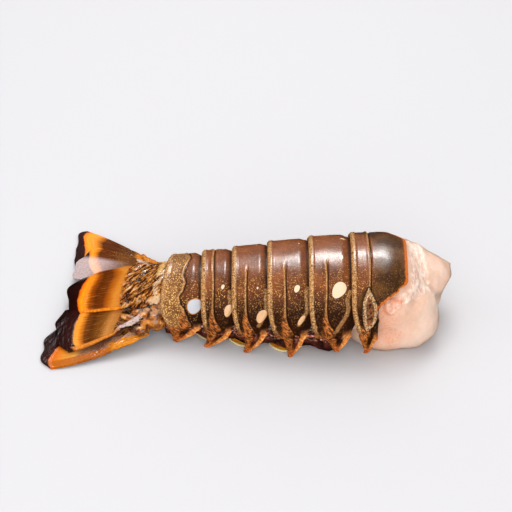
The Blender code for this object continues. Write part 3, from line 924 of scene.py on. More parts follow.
def as_vectors(points):
    return [Vector(point) for point in points]


strand_lines = [as_vectors(line) for line in STRANDS]
flap_outline, veil_outline, shell_edge = as_vectors(FLAP), as_vectors(VEIL), as_vectors(SHELL_EDGE)
torn_line = flap_outline[-2:] + flap_outline[:4]
facets = []
for start, end in (as_vectors(line) for line in FACETS):
    facets.append((start, Vector((start.y - end.y, end.x - start.x)).normalized()))
facets[-1] = (facets[-1][0], LAST_CUT)

bm = bmesh.new()
bm.from_mesh(meat.data)
layers = {key: bm.verts.layers.float.new(key) for key in ("veil", "strand", "warm", "flap", "torn")}
bm.normal_update()
for vert in bm.verts:
    if vert.co.x < AXIS_START.x * MM - MEAT_SHOWS:
        continue
    spot = seen_at(vert.co)
    for start, outward in facets:
        beyond = (spot - start).dot(outward)
        if outward is LAST_CUT:  # it fades towards the slab
            beyond *= ease(spot.y, -26, -17)
        if beyond > 0:
            vert.co -= (outward.x * Vector((1, 0, 0)) + outward.y * camera_up) * beyond * 0.9 * MM
    facing = ease(vert.normal.dot(camera_back), -0.05, 0.3)
    coarse = vert.co / MM * 0.3
    drift = Vector((noise.noise(coarse), noise.noise(coarse + Vector((9, 9, 9))))) * 1.6
    strand = max(hill(to_line(spot + drift, line), 0.6) for line in strand_lines)
    strand *= ease(noise.noise(vert.co / MM * 0.35 + Vector((4, 2, 7))), -0.25, 0.2)
    veil = ease(depth_inside(spot, veil_outline), 0.0, 2.5)
    # a small flap of torn skin beside the shell's cut edge, orange where it was torn
    flap = depth_inside(spot, flap_outline)
    seen = {
        "veil": veil, "strand": strand, "warm": hill(to_line(spot, shell_edge), 7.5),
        "flap": ease(flap, -0.4, 1.4), "torn": hill(to_line(spot + 0.6 * drift, torn_line), 0.8),
    }
    for key, value in seen.items():
        vert[layers[key]] = value * facing
    folds = 0.5 * noise.noise(vert.co / MM * 0.16) + 0.16 * noise.noise(vert.co / MM * 0.5)
    fibres = noise.noise(Vector((spot.x * 0.9, spot.y * 0.22, 3.0))) * (0.1 + 0.3 * veil)
    folds += 0.9 * ease(flap, -0.6, 1.0) * (1 - 0.35 * ease(flap, 1.0, 3.0)) * facing
    crease = hill(to_line(spot, strand_lines[1]), 2.4)  # filled, so that the veil runs on over it
    vert.co += vert.normal * (folds + fibres + (0.22 * strand + 0.5 * crease) * facing) * MM
    vert.co.z = max(vert.co.z, SLAB_GAP)
keep_mesh(bm, meat.data)
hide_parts("flesh")
print("meat box", [round(value * 1000, 1) for value in meat.dimensions])

# %% [markdown]
# ## Writing finishes as sums
# A finish is a network of small nodes. Writing it as arithmetic keeps it readable: a value wraps one
# socket, and adding, multiplying or comparing values adds the Math nodes. Every other node comes
# from one method that takes its type, its settings and what goes into its sockets.

# %% Shader sums
class Value:
    """One output socket of a finish, that can be used in sums."""

    def __init__(self, finish, socket):
        self.finish, self.socket = finish, socket

    def sum_with(self, operation, *others):
        sockets = dict(enumerate((self, *others)))
        return self.finish.node("ShaderNodeMath", {"operation": operation}, sockets)

    def __add__(self, other):
        return self.sum_with("ADD", other)

    def __sub__(self, other):
        return self.sum_with("SUBTRACT", other)

    def __rsub__(self, other):
        return self.finish.node("ShaderNodeMath", {"operation": "SUBTRACT"}, {0: other, 1: self})

    def __mul__(self, other):
        return self.sum_with("MULTIPLY", other)

    def __abs__(self):
        return self.sum_with("ABSOLUTE")

    def __or__(self, other):
        return self.sum_with("MAXIMUM", other)

    __radd__, __rmul__ = __add__, __mul__


class Finish:
    """A new material with one glossy shader."""

    def __init__(self, name):
        self.material = bpy.data.materials.new(name)
        self.material.use_nodes = True
        self.tree = self.material.node_tree
        self.shader = self.tree.nodes["Principled BSDF"]

    def node(self, kind, settings=None, sockets=None, output=0):
        """Adds a node: its settings first, then what goes into its sockets."""
        made = self.tree.nodes.new(kind)
        for key, value in (settings or {}).items():
            if key == "stops":
                stops = made.color_ramp.elements
                for position, colour in value:
                    near = [stop for stop in stops if abs(stop.position - position) < 1e-4]
                    (near[0] if near else stops.new(position)).color = colour
            else:
                setattr(made, key, value)
        for key, value in (sockets or {}).items():
            if isinstance(value, Value):
                self.tree.links.new(value.socket, made.inputs[key])
            else:
                made.inputs[key].default_value = value
        return Value(self, made.outputs[output])

    def note(self, name):
        """A named value that is stored on the mesh."""
        return self.node("ShaderNodeAttribute", {"attribute_name": name}, output=2)

    def skin(self):
        """The sheet's own coordinates, in mm."""
        return self.node("ShaderNodeUVMap", {"uv_map": "skin"})

    def place(self):
        """The object's coordinates, in mm."""
        spot = self.node("ShaderNodeTexCoord", output=3)
        return self.node("ShaderNodeVectorMath", {"operation": "SCALE"}, {0: spot, "Scale": 1000.0})

    def stretched(self, spot, x, y, z=1.0):
        """Coordinates scaled each way; a pattern grows long where they shrink."""
        return self.node("ShaderNodeVectorMath", {"operation": "MULTIPLY"}, {0: spot, 1: (x, y, z)})

    def turned(self, spot, angle):
        """Coordinates turned within the sheet, for a slanting pattern."""
        return self.node("ShaderNodeVectorRotate", {"rotation_type": "Z_AXIS"}, {0: spot, "Angle": angle})

    def cloud(self, spot, scale, detail=3.0, roughness=0.55):
        """Soft noise from 0 to 1 round 0.5."""
        sockets = {"Vector": spot, "Scale": scale, "Detail": detail, "Roughness": roughness}
        return self.node("ShaderNodeTexNoise", {}, sockets)

    def cells(self, spot, scale):
        """The distance to the nearest of many scattered points."""
        return self.node("ShaderNodeTexVoronoi", {}, {"Vector": spot, "Scale": scale, "Randomness": 1.0})

    def step(self, value, start, end):
        """0 at start, 1 at end, smooth between. start may be the larger one."""
        settings = {"interpolation_type": "SMOOTHSTEP"}
        return self.node("ShaderNodeMapRange", settings, {0: value, 1: start, 2: end, 3: 0.0, 4: 1.0})

    def mix(self, mask, colour, other):
        settings = {"data_type": "RGBA", "clamp_factor": True}
        return self.node("ShaderNodeMix", settings, {0: mask, 6: colour, 7: other}, output=2)

    def coats(self, colour, *layers):
        """Coats laid over a first colour, each a mask and a colour."""
        for mask, other in layers:
            colour = self.mix(mask, colour, other)
        return colour

    def tinted(self, colour, tint):
        settings = {"data_type": "RGBA", "blend_type": "MULTIPLY"}
        return self.node("ShaderNodeMix", settings, {0: 1.0, 6: colour, 7: tint}, output=2)

    def ramp(self, value, *stops):
        """Colours by value; a stop is its position, red, green and blue."""
        painted = [(position, paint(*colour)) for position, *colour in stops]
        return self.node("ShaderNodeValToRGB", {"stops": painted}, {0: value})

    def feed(self, **sockets):
        """Values or constants for the shader; an underscore stands for a space."""
        for key, value in sockets.items():
            socket = self.shader.inputs[key.replace("_", " ")]
            if isinstance(value, Value):
                self.tree.links.new(value.socket, socket)
            else:
                socket.default_value = value

    def relief(self, height, distance, strength):
        """Fine bumps, distance mm high."""
        sockets = {"Height": height, "Distance": distance * MM, "Strength": strength}
        bumped = self.node("ShaderNodeBump", {}, sockets)
        self.tree.links.new(bumped.socket, self.shader.inputs["Normal"])


def paint(*swatch):
    """A colour read off a swatch (0 to 255) as the linear colour that shaders use."""
    parts = (part / 255 for part in swatch)
    linear = (part / 12.92 if part <= 0.04045 else ((part + 0.055) / 1.055) ** 2.4 for part in parts)
    return (*linear, 1.0)


print("a mid brown in linear light:", [round(value, 3) for value in paint(120, 78, 50)])

# %% [markdown]
# ## The shell's finish
# The shell is a wet dark brown, peppered with fine light dots. Painted light makes the crown and the far
# side lighter and warmer, and painted shade darkens the sides low down, the groove and the teeth's
# hollows. The first plate has an olive dome and the last one turns gold. Rims and lips are tan with
# dense stippling, and the teeth and the low ends of the lips turn orange with slanting dark strokes.
# Pale cream spots have a crisp edge. Nearly all of it follows the notes on the mesh, roughened by
# noise. Each coat below is a mask and the colour that it lets through, laid on in the order in which
# they are written.

# %% Shell finish
SHELL_TINT = (1.0, 0.87, 0.64, 1)  # warms the brown under the pale spots
SHELL_NOTES = ("rim", "behind", "around", "crown", "fore", "pale", "down", "cut", "shoulder", "lobe", "share")


def shell_finish(name, dome=False, last=False):
    """The plates' finish; dome is for the first plate and last for the sixth."""
    finish = Finish(name)
    step, mix, cloud, cells, coats = finish.step, finish.mix, finish.cloud, finish.cells, finish.coats
    rim, behind, around, crown, fore, pale, down, cut, shoulder, lobe, share = map(finish.note, SHELL_NOTES)
    skin = finish.skin()
    wide, fine, mottle = cloud(skin, 0.09), cloud(skin, 0.8), cloud(skin, 1.7, 2.0)
    wobble = (cloud(skin, 0.45, 2.0) - 0.5) * 1.6
    low = step(around, 0.6, 0.84)

    # the brown itself, darker ahead of the groove, with painted shade down the sides and painted light
    # on the crown and the far side
    brown = coats(
        mix(step(wide, 0.3, 0.7), paint(94, 51, 27), paint(138, 80, 44)),
        (step(behind, 0.5, -2.5) * 0.3, paint(64, 30, 18)),
        (step(fine, 0.5, 0.8) * 0.35, paint(146, 92, 52)),
        (step(around, 0.35, 0.75) * 0.94, paint(34, 15, 5)),
        (step(crown, -0.35, 0.25) * 0.45, paint(146, 80, 40)),
        (step(mottle, 0.5, 0.3) * 0.55, paint(46, 22, 10)),
    )
    if dome:
        olive = step(fore, 19.0, 13.0) * step(around, 0.75, 0.5)
        brown = mix(olive * 0.9, brown, mix(step(wide, 0.4, 0.6), paint(54, 32, 9), paint(84, 54, 16)))
    if last:
        gold = mix(step(wide, 0.35, 0.6), paint(110, 72, 38), paint(144, 102, 64))
        brown = mix(step(behind, -0.5, 2.0) * 0.8, brown, gold)

    # fine light dots, denser towards the fan on the last plate, finer and duller on the olive
    sparse = step(cells(skin, 0.8), 0.25, 0.13) * step(cloud(skin, 0.35, 2.0), 0.34, 0.5)
    dense = step(cells(skin, 1.45), 0.34, 0.17) * step(cloud(skin, 0.25, 2.0), 0.30, 0.5)
    dotted = (sparse | (dense * 0.75)) * (0.35 + 0.65 * step(around, 0.1, 0.5))
    dotted = dotted * (1 - 0.5 * step(around, 0.5, 0.75))
    if last:
        freckles = step(cells(skin, 1.6), 0.42, 0.24) * step(behind, 0.5, 2.0)
        dotted = (dotted * step(behind, 1.5, 0.0)) | freckles
    if dome:
        fleck = step(cells(skin, 1.3), 0.36, 0.2) * step(mottle, 0.35, 0.55)
        brown = coats(
            brown,
            (step(fore, 9.0, 3.0) * step(around, 0.2, 0.45) * 0.6, paint(40, 24, 8)),
            (fleck * olive * 0.6, paint(140, 108, 62)),
        )
        dotted = dotted * (1 - olive * 0.8)
    # low on the sides the dots are darker: painted shade
    dots = paint(250, 206, 134) if last else mix(low, paint(236, 182, 106), paint(188, 122, 52))

    # stippled tan for the rolled rim and for the lip behind the groove
    stipple = step(cells(skin, 1.9), 0.48, 0.26)
    grain = cloud(skin, 1.3, 3.0, 0.75)
    pepper = coats(
        mix(step(grain, 0.36, 0.6), paint(100, 62, 34), paint(208, 162, 112)),
        (stipple * step(grain, 0.4, 0.55) * 0.75, paint(248, 218, 172)),
        (step(cells(skin, 1.2), 0.62, 0.85) * 0.7, paint(62, 30, 12)),
    )
    band = step(rim + wobble * 0.5, 2.6, 1.7) * step(around, 1.0, 0.86)
    lip = step(behind, 0.2, 0.45) * step(behind + wobble * 0.4 - low * 0.4, 1.3, 0.8) * cut

    # orange for the low end of the lip and for the tooth, with slanting dark strokes
    strokes = step(cloud(finish.stretched(finish.turned(skin, 0.75), 1.0, 0.25), 1.5), 0.44, 0.6)
    orange = mix(strokes, paint(74, 35, 13), paint(206, 122, 58))
    orange = mix(stipple * 0.3, orange, paint(216, 160, 96))
    on_side = step(around, 0.9, 1.04)
    reach = 1.4 + 3.6 * step(around, 0.66, 0.98)
    broad = step(behind, 0.3, 0.7) * step(behind + wobble * 0.6 - reach, 0.7, -0.5) * low
    # painted shade along the cross groove
    groove_shade = step(behind, -0.6, -0.2) * step(behind, 0.42, 0.1) * cut
    colour = coats(
        brown,
        (dotted * 0.9, dots),
        (lip * (0.85 - low * 0.35), mix(0.15, pepper, paint(226, 180, 126))),
        (band * 0.95, pepper),
        (step(rim, 0.45, 0.1) * 0.7, paint(120, 62, 26)),
        (broad | (on_side * step(share, 0.5, 0.58)), orange),
        (groove_shade * step(around, 1.2, 1.0) * 0.9, paint(40, 17, 8)),
    )
    if not dome:  # the shade under the plate ahead
        colour = mix(step(fore, 4.6, 3.0) * step(around, 1.0, 0.9) * 0.85, colour, paint(34, 15, 8))

    # the shoulder ridge, then the tooth: painted shade in its hollow, its bright front edge and its tip
    sweep = step(shoulder + wobble * 0.4, 1.3, 0.7)
    hollow_shade = on_side * step(share, 0.6, 0.52) * step(share, 0.13, 0.2)
    bright = mix(step(fine, 0.4, 0.65), paint(206, 110, 44), paint(246, 190, 120))
    colour = coats(
        colour,
        (sweep * 0.55, mix(low * 0.6, pepper, paint(190, 136, 86))),
        (hollow_shade, mix(step(fine, 0.4, 0.7), paint(22, 9, 4), paint(84, 44, 16))),
        (on_side * step(share, 0.27, 0.19), bright),
        (step(down, 0.55, 0.9) * 0.8, mix(strokes, paint(150, 70, 26), paint(214, 128, 62))),
    )
    colour = finish.tinted(colour, SHELL_TINT)

    # pale spots
    crisp, ring = step(pale + wobble * 0.16, -0.05, 0.18), step(pale, -0.5, -0.1)
    if last:
        halo, ring_colour = ring * 0.7, paint(200, 120, 56)
        cream = mix(fine * 0.6, paint(194, 195, 198), paint(172, 177, 184))
    else:
        halo, ring_colour = ring * 0.3, paint(60, 34, 18)
        cream = mix(step(around, 0.5, 0.75), paint(224, 192, 158), paint(210, 156, 104))
        cream = mix(fine * 0.3, cream, paint(246, 226, 192))
    colour = coats(colour, (halo, ring_colour), (crisp, cream))
    if dome:  # the ringed lobe on each flank, and the orange brink of the cut
        wavy = lobe + wobble * 0.3
        margin = step(lobe, -0.5, 0.1) * step(lobe + wobble * 0.2, 2.0, 1.3)
        brink = fore + wobble * (0.6 + 2.4 * step(around, 0.3, 0.45))
        at_cut = step(around, 0.72, 0.6)
        colour = coats(
            colour,
            (margin * step(grain, 0.3, 0.5), pepper),
            (step(lobe, 1.4, 2.4), mix(step(fine, 0.35, 0.65), paint(44, 22, 10), paint(150, 92, 52))),
            (step(wavy, -0.9, -0.4) * step(wavy, 0.2, -0.1) * 0.8, paint(30, 15, 8)),
            (step(brink, 2.6, 1.2) * at_cut * 0.7, paint(112, 52, 14)),
            (step(brink, 1.7, 0.9) * at_cut, mix(fine, paint(158, 60, 8), paint(214, 118, 34))),
        )

    finish.feed(
        Base_Color=colour, Roughness=0.35 + (fine - 0.5) * 0.24, Specular_IOR_Level=0.32,
        Coat_Weight=0.1, Coat_Roughness=0.2,
    )
    grainy = fine * 0.25 + cloud(skin, 2.4, 2.0) * 0.4 + dotted * 0.25 + stipple * band * 0.3
    finish.relief(grainy + strokes * broad * 0.7, 0.2, 0.45)
    return finish.material


def dress(piece, material):
    """Gives a piece one finish in place of what it has."""
    piece.data.materials.clear()
    piece.data.materials.append(material)


plain_shell = shell_finish("shell brown")
dome_shell = shell_finish("shell with olive dome", dome=True)
last_shell = shell_finish("shell gold towards the fan", last=True)
for piece, material in zip(plate_pieces, (dome_shell, *[plain_shell] * 4, last_shell)):
    dress(piece, material)
print("shell finish nodes:", len(plain_shell.node_tree.nodes))

# %% [markdown]
# ## The fan's finishes
# Seen from the body outwards, a blade is dark and knobbly, then amber, then brown, then bright
# orange, and nearly black at the tip. The borders are soft and follow the fine rays. A colour ramp
# along the blade gives the bands, and every blade has its own ramp. The far inner blade carries a
# pale painted reflection where its wet face would mirror the light.

# %% Blade finish
LINE_EDGE = 0.03  # half the soft edge of a painted line


def blade_finish(
    name, stops, slant=0.0, rough_to=0.45, rough_slant=0.0, shift=0.0, lines=(), crest_tones_and_highlights=None, shade=1.0,
    corner=0.0, bloom=None,
):
    """One blade's finish, from its ramp of colours.

    slant and shift lean and move the bands, and corner carries them outwards on one side. The knobbly
    part ends at rough_to. lines are bands of colour along the blade: across from, across to, station
    from, station to, colour. bloom is a pale painted reflection on the wet face: across from,
    across to, station from, to.
    """
    finish = Finish(name)
    step, mix, cloud, cells, coats = finish.step, finish.mix, finish.cloud, finish.cells, finish.coats
    station, across, relief = map(finish.note, ("station", "across", "relief"))
    skin = finish.skin()
    rays = cloud(finish.stretched(skin, 0.08, 1.0), 1.5)
    fine, wide = cloud(skin, 0.9), cloud(skin, 0.14, 2.0)
    along = station + across * slant + (rays - 0.5) * 0.03 + (wide - 0.5) * 0.04 + shift
    along = along - step(across, 0.5, 1.0) * corner
    coloured = step(along, 0.80, 0.76)  # 0 on the dark tip
    gold = step(cells(skin, 1.2), 0.3, 0.16) * step(along, 0.56, 0.42)
    colour = coats(
        finish.ramp(along, *stops),
        (step(rays, 0.5, 0.75) * coloured * 0.14, paint(250, 176, 84)),
        (step(rays, 0.5, 0.3) * coloured * 0.2, paint(70, 30, 8)),
        (gold * 0.45, paint(216, 150, 62)),
    )

    # the knobbly part: slanting blotches whose palest stop is lilac as painted glints, painted shade in
    # the hollows, pale crests that are partly their own tone and partly painted highlight, and spines
    knobbly = step(station + across * rough_slant + (fine - 0.5) * 0.06, rough_to + 0.012, rough_to - 0.012)
    slanted = finish.turned(skin, -0.8)
    rough = finish.ramp(
        cloud(finish.stretched(slanted, 1.0, 0.35), 0.62, 4.0, 0.62),
        (0.34, 24, 10, 5), (0.45, 70, 34, 12), (0.51, 128, 70, 24),
        # the last, lilac stop paints glints on the palest blotches
        (0.57, 190, 120, 44), (0.64, 212, 162, 96), (0.7, 206, 176, 176),
    )
    if not crest_tones_and_highlights:
        crest_tones_and_highlights = mix(fine, paint(220, 164, 96), paint(230, 204, 176)), paint(236, 186, 114)
    crest_tone_and_highlight = mix(step(across, 0.1, -0.3), crest_tones_and_highlights[1], crest_tones_and_highlights[0])
    rough = coats(
        finish.tinted(rough, (shade, shade, shade, 1)),
        # painted shade where the relief is low
        (step(relief, 0.05, -0.25) * 0.85, paint(28, 12, 8)),
        # the crests' pale tone, partly a painted highlight
        (step(relief + (fine - 0.5) * 0.8, 0.8, 1.4) * 0.8, crest_tone_and_highlight),
        (step(cloud(skin, 0.8), 0.44, 0.36) * 0.8, paint(52, 24, 10)),
        (step(cells(skin, 0.75), 0.3, 0.14) * 0.3, paint(226, 196, 160)),
    )
    border = step(station, rough_to + 0.06, rough_to + 0.01) * step(station, rough_to - 0.08, rough_to - 0.02)
    beads = border * step(cells(skin, 0.8), 0.36, 0.22) * 0.7
    colour = coats(colour, (knobbly, rough), (beads, paint(196, 86, 26)))

    for across_from, across_to, station_from, station_to, tone in lines:
        inside = 0.9
        for value, start, end in ((across, across_from, across_to), (station, station_from, station_to)):
            inside = step(value, start - LINE_EDGE, start + LINE_EDGE) * inside
            inside = step(value, end + LINE_EDGE, end - LINE_EDGE) * inside
        colour = mix(inside, colour, mix(step(fine, 0.35, 0.7) * 0.5, tone, paint(120, 56, 16)))
    # a pale painted reflection where the wet face would mirror a light
    if bloom:
        pearly = step(across, bloom[1], bloom[0]) * step(station, bloom[2], bloom[3])
        colour = mix(pearly * (0.25 + 0.6 * fine), colour, paint(236, 210, 206))
    finish.feed(
        Base_Color=colour, Roughness=0.24 + (fine - 0.5) * 0.16, Specular_IOR_Level=0.1,
        Coat_Weight=(1 - coloured) * 0.5 + knobbly * 0.35 + 0.04, Coat_Roughness=0.08,
    )
    wrinkles = cloud(finish.stretched(slanted, 0.4, 1.0), 0.5) * (1 - coloured)
    ribs = rays * (0.4 + 0.3 * (1 - coloured)) * (1 - knobbly)
    finish.relief(wrinkles * 2.4 + ribs + cloud(skin, 1.5) * knobbly + gold * 0.2, 0.45, 0.6)
    return finish.material


print("blade finish ready")

# %% Fan colours
# each stop of a ramp: how far out it lies from the blade's root, then red, green and blue
TELSON_STOPS = (
    (0.0, 170, 120, 60), (0.40, 186, 118, 46), (0.49, 196, 120, 36), (0.54, 170, 86, 10), (0.60, 100, 42, 4),
    (0.68, 84, 34, 3), (0.735, 140, 62, 5), (0.78, 224, 124, 12), (0.825, 242, 146, 20), (0.862, 220, 96, 8),
    (0.872, 40, 11, 7), (1.0, 24, 7, 5),
)
INNER_STOPS = (
    (0.0, 140, 84, 40), (0.28, 160, 100, 42), (0.38, 176, 114, 50), (0.46, 116, 64, 12), (0.58, 78, 36, 2),
    (0.65, 102, 50, 4), (0.70, 200, 112, 20), (0.735, 228, 146, 44), (0.772, 222, 132, 36), (0.785, 48, 15, 11),
    (1.0, 26, 8, 7),
)
OUTER_STOPS = (
    (0.0, 150, 100, 66), (0.2, 160, 112, 86), (0.33, 96, 58, 46), (0.48, 130, 90, 66), (0.55, 206, 142, 60),
    (0.66, 212, 128, 36), (0.74, 204, 102, 8), (0.79, 200, 94, 6), (0.80, 48, 16, 12), (1.0, 30, 11, 9),
)
INNER_FAR_STOPS = (
    (0.0, 90, 50, 22), (0.34, 104, 58, 22), (0.43, 86, 38, 8), (0.63, 90, 38, 5), (0.69, 220, 124, 18),
    (0.74, 244, 156, 36), (0.772, 230, 120, 22), (0.785, 48, 15, 11), (1.0, 26, 8, 7),
)
OUTER_FAR_STOPS = (
    (0.0, 84, 46, 20), (0.40, 92, 50, 20), (0.55, 80, 34, 5), (0.68, 88, 36, 5), (0.76, 240, 140, 34),
    (0.84, 255, 158, 40), (0.885, 236, 120, 26), (0.895, 54, 22, 18), (1.0, 40, 17, 15),
)
# lilac-white crests for the inner blades' raised ribs: a painted highlight
lilac_crest_highlights = (paint(204, 178, 172), paint(210, 186, 178))
dress(telson, blade_finish(
    "telson", TELSON_STOPS, slant=0.02, rough_to=0.445, corner=0.08,
    lines=((-1.2, -0.93, 0.42, 0.86, paint(240, 134, 20)),),
))
dress(blades["near", "endopod"], blade_finish(
    "near inner blade", INNER_STOPS, slant=-0.07, rough_to=0.29, rough_slant=-0.07,
    crest_tones_and_highlights=lilac_crest_highlights, shade=0.5,
    lines=((0.86, 1.2, 0.28, 0.9, paint(214, 128, 44)), (-1.2, -0.93, 0.26, 0.76, paint(246, 146, 34))),
))
# the far inner blade gets a painted reflection on its wet face
dress(blades["far", "endopod"], blade_finish(
    "far inner blade", INNER_FAR_STOPS, slant=-0.2, rough_to=0.27, rough_slant=-0.07, shift=-0.075,
    crest_tones_and_highlights=lilac_crest_highlights, bloom=(0.15, 0.5, 0.3, 0.85),
))
dress(blades["near", "exopod"], blade_finish(
    "near outer blade", OUTER_STOPS, slant=-0.17, rough_to=0.28, rough_slant=-0.14, shift=-0.035,
    lines=(
        (0.08, 0.42, -0.1, 0.33, paint(184, 140, 112)), (0.42, 1.2, -0.1, 0.37, paint(226, 136, 14)),
        (0.72, 1.2, 0.36, 0.95, paint(178, 92, 3)),
    ),
))
dress(blades["far", "exopod"], blade_finish(
    "far outer blade", OUTER_FAR_STOPS, slant=-0.055, rough_to=0.30, rough_slant=-0.14, shift=-0.012,
    lines=((0.5, 1.2, -0.1, 0.40, paint(226, 136, 34)),),
))
print("fan finishes done")

# %% [markdown]
# ## Soft finishes
# Raw meat is milky and wet: light goes into it and comes back warm, so it has subsurface light and a
# thin coat for the wet gleam. White strands and streaks lie over it near the shell, with some orange
# where skin was torn. The skins are darker, and the leaves are clear amber with a dark middle and a
# pale edge. The joint lumps are stiff like the shell and amber, with painted highlight on their
# knobs and in pale lilac patches, and painted shade in their creases.

# %% Soft finishes
def meat_finish():
    finish = Finish("raw meat")
    step, mix, cloud = finish.step, finish.mix, finish.cloud
    veil, strand, warm, flap, torn = map(finish.note, ("veil", "strand", "warm", "flap", "torn"))
    spot = finish.place()
    wide, fine = cloud(spot, 0.07), cloud(spot, 0.6, 4.0)
    fibres = cloud(finish.stretched(spot, 0.2, 1.0), 1.1)
    streaks = step(cloud(finish.stretched(spot, 1.0, 0.35, 0.35), 1.2), 0.46, 0.62)
    specks = step(cloud(spot, 0.9, 4.0, 0.7), 0.46, 0.66) * step(warm, 0.0, 0.8)
    colour = finish.coats(
        mix(step(wide, 0.35, 0.65), paint(223, 183, 157), paint(233, 203, 183)),
        (step(fine, 0.5, 0.75) * 0.35, paint(238, 214, 196)),
        (step(fibres, 0.55, 0.8) * 0.25, paint(232, 176, 150)),
        (warm * (0.3 + 0.4 * fine), paint(226, 148, 108)),
        (veil * 0.5, paint(218, 176, 160)),
        (veil * streaks * 0.85, paint(250, 223, 205)),
        (strand * (0.5 + 0.5 * fine), paint(255, 238, 222)),
        (specks * 0.6, paint(230, 138, 84)),
        (flap * 0.7, mix(step(fine, 0.35, 0.65), paint(226, 156, 120), paint(242, 206, 186))),
        (torn * step(fine, 0.3, 0.5) * 0.7, paint(212, 112, 46)),
    )
    finish.feed(
        Base_Color=colour, Roughness=0.34 + (fine - 0.5) * 0.2, Coat_Weight=0.25, Coat_Roughness=0.1,
        Subsurface_Weight=0.45, Subsurface_Scale=0.0016, Subsurface_Radius=(1.0, 0.5, 0.35),
    )
    finish.relief(fibres * 0.5 + fine * 0.4 + streaks * veil * 0.5, 0.5, 0.45)
    return finish.material


def skin_finish():
    finish = Finish("joint skin")
    step, mix, cloud, skin = finish.step, finish.mix, finish.cloud, finish.skin()
    fine, wide = cloud(skin, 0.7, 4.0), cloud(skin, 0.18)
    colour = mix(step(wide, 0.4, 0.65), paint(30, 12, 9), paint(92, 38, 24))
    torn = step(cloud(skin, 0.45, 4.0, 0.65), 0.5, 0.6) * step(finish.note("down"), 0.75, 0.35)
    colour = mix(torn * 0.8, colour, mix(step(fine, 0.4, 0.6), paint(190, 84, 36), paint(226, 176, 158)))
    finish.feed(Base_Color=colour, Roughness=0.3 + fine * 0.2, Coat_Weight=0.15, Specular_IOR_Level=0.3)
    finish.relief(fine, 0.6, 0.6)
    return finish.material


def belly_finish():
    finish = Finish("belly skin")
    step, mix, cloud, skin = finish.step, finish.mix, finish.cloud, finish.skin()
    rib = finish.note("rib")
    fine, wide = cloud(skin, 0.6, 4.0), cloud(skin, 0.2)
    dots = step(finish.cells(skin, 0.25), 0.2, 0.12) * step(rib, 0.4, 0.8)
    colour = finish.coats(
        mix(step(wide, 0.35, 0.65), paint(196, 104, 62), paint(222, 150, 118)),
        (step(rib, 0.55, 0.85), mix(fine, paint(236, 196, 158), paint(250, 226, 196))),
        (dots * 0.7, paint(90, 44, 26)),
    )
    finish.feed(
        Base_Color=colour, Roughness=0.36 + fine * 0.15, Coat_Weight=0.3, Subsurface_Weight=0.15,
        Subsurface_Scale=0.002,
    )
    finish.relief(fine, 0.6, 0.5)
    return finish.material


def leaf_finish():
    finish = Finish("swimmeret leaf")
    step, mix, cloud, skin = finish.step, finish.mix, finish.cloud, finish.skin()
    across, edge = abs(finish.note("across")), finish.note("edge")
    fine, rays = cloud(skin, 0.7), cloud(finish.stretched(skin, 0.2, 1.0), 1.4, 2.0)
    colour = finish.coats(
        mix(step(rays, 0.4, 0.65), paint(214, 126, 16), paint(246, 180, 46)),
        (step(across + (fine - 0.5) * 0.2, 0.34, 0.2), paint(46, 20, 26)),
        (step(edge, 1.0, 0.4), paint(250, 220, 160)),
    )
    finish.feed(
        Base_Color=colour, Roughness=0.35, Coat_Weight=0.3, Subsurface_Weight=0.2, Subsurface_Scale=0.002,
    )
    finish.relief(rays, 0.4, 0.5)
    return finish.material


def joint_finish():
    finish = Finish("fan joint")
    step, mix, cloud = finish.step, finish.mix, finish.cloud
    spot, relief = finish.place(), finish.note("relief")
    fine, wide = cloud(spot, 0.8), cloud(spot, 0.3)
    # painted highlight on the raised knobs, noise patches of darker brown and painted lilac highlight, and
    # painted shade in the creases
    colour = finish.coats(
        mix(step(wide, 0.4, 0.6), paint(122, 64, 18), paint(190, 114, 36)),
        (step(relief + (fine - 0.5) * 0.2, 0.0, 0.25), mix(fine, paint(208, 134, 54), paint(220, 176, 124))),
        (step(cloud(spot, 0.16, 2.0), 0.52, 0.62) * 0.45, mix(fine, paint(130, 92, 66), paint(214, 186, 160))),
        (step(relief, -0.14, -0.3) * 0.8, paint(58, 26, 12)),
    )
    finish.feed(Base_Color=colour, Roughness=0.36 + fine * 0.14, Specular_IOR_Level=0.3)
    finish.relief(fine, 0.5, 0.5)
    return finish.material


soft = {
    "raw_meat": meat_finish(), "joint_skin": skin_finish(), "ribbed_belly_skin": belly_finish(),
    "leaf": leaf_finish(), "fan_joint": joint_finish(),
}
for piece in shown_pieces():
    for key, material in soft.items():
        if key in piece.name:
            dress(piece, material)

# %% [markdown]
# ## Slab and light
# A white slab, one light overhead and a little behind the tail, and wide soft ones all round. A small
# strong light draws the gleam along the crown and a low one behind adds a sheen: both show only as
# reflections. The wide ones do the opposite. They leave a soft shadow in front but show in no
# reflection, and neither do the pale room and the slab, because a dark wet shell would mirror them.

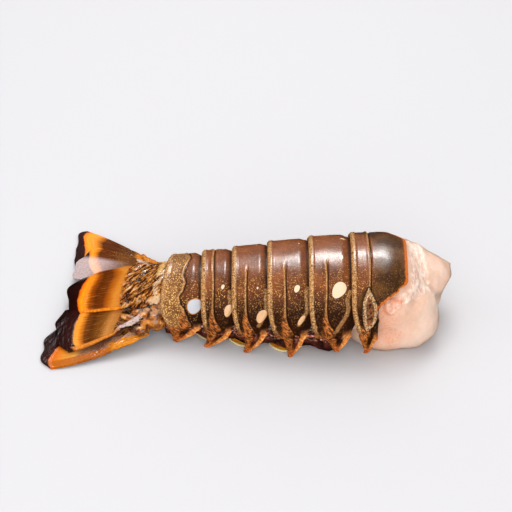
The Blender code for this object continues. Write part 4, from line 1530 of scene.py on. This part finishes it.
# %% Slab and light
# name, size in metres, watts, place
GLEAMS = (("small gleam", 0.32, 16.0, (0.03, 0.5, 0.9)), ("low sheen", 0.8, 0.3, (0.0, 1.0, 0.38)))
FILLS = (
    ("soft top", 1.3, 5.4, (0.0, 0.2, 1.1)), ("soft front", 1.3, 10.8, (0.1, -0.95, 0.58)),
    ("soft left", 1.3, 4.0, (-0.9, -0.2, 0.7)), ("soft back", 1.3, 5.2, (0.1, 1.0, 0.5)),
)
LIT_AT = Vector((0, 0, 0.02))  # every light points at the middle of the tail

bm = bmesh.new()
bmesh.ops.create_grid(bm, x_segments=1, y_segments=1, size=3)
slab = bpy.data.objects.new("slab", keep_mesh(bm, bpy.data.meshes.new("slab")))
bpy.context.scene.collection.objects.link(slab)
slab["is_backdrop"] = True
white = Finish("white slab")
white.feed(Base_Color=(0.56, 0.55, 0.56, 1), Roughness=0.8)
slab.data.materials.append(white.material)
slab.visible_glossy = False


def add_light(name, size, watts, place):
    lamp = bpy.data.lights.new(name, "AREA")
    lamp.shape = "DISK"
    lamp.size, lamp.energy = size, watts
    made = bpy.data.objects.new(name, lamp)
    aimed = (Vector(place) - LIT_AT).to_track_quat("Z", "Y").to_matrix().to_4x4()
    made.matrix_world = Matrix.Translation(place) @ aimed
    bpy.context.scene.collection.objects.link(made)
    return made


add_light("overhead", 0.5, 2.0, (0.03, 0.3, 0.9))
for row in GLEAMS:
    add_light(*row).visible_diffuse = False
for row in FILLS:
    add_light(*row).visible_glossy = False
world = bpy.data.worlds.new("pale room")
world.use_nodes = True
world.node_tree.nodes["Background"].inputs["Color"].default_value = (0.95, 0.96, 1.0, 1)
world.node_tree.nodes["Background"].inputs["Strength"].default_value = 0.42
world.cycles_visibility.glossy = False
bpy.context.scene.world = world
bpy.context.scene.view_settings.view_transform = "Standard"

# %% [markdown]
# The box round the imported model and the box round the dressed one are printed side by side, so
# that anyone can see how far the looks reach past the plain shape.

sizes = {"cad": cad_box, "visual": [list(corner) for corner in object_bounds()]}
for key, box in sizes.items():
    print(key, "box in mm:", [[round(value * 1000, 1) for value in corner] for corner in box])
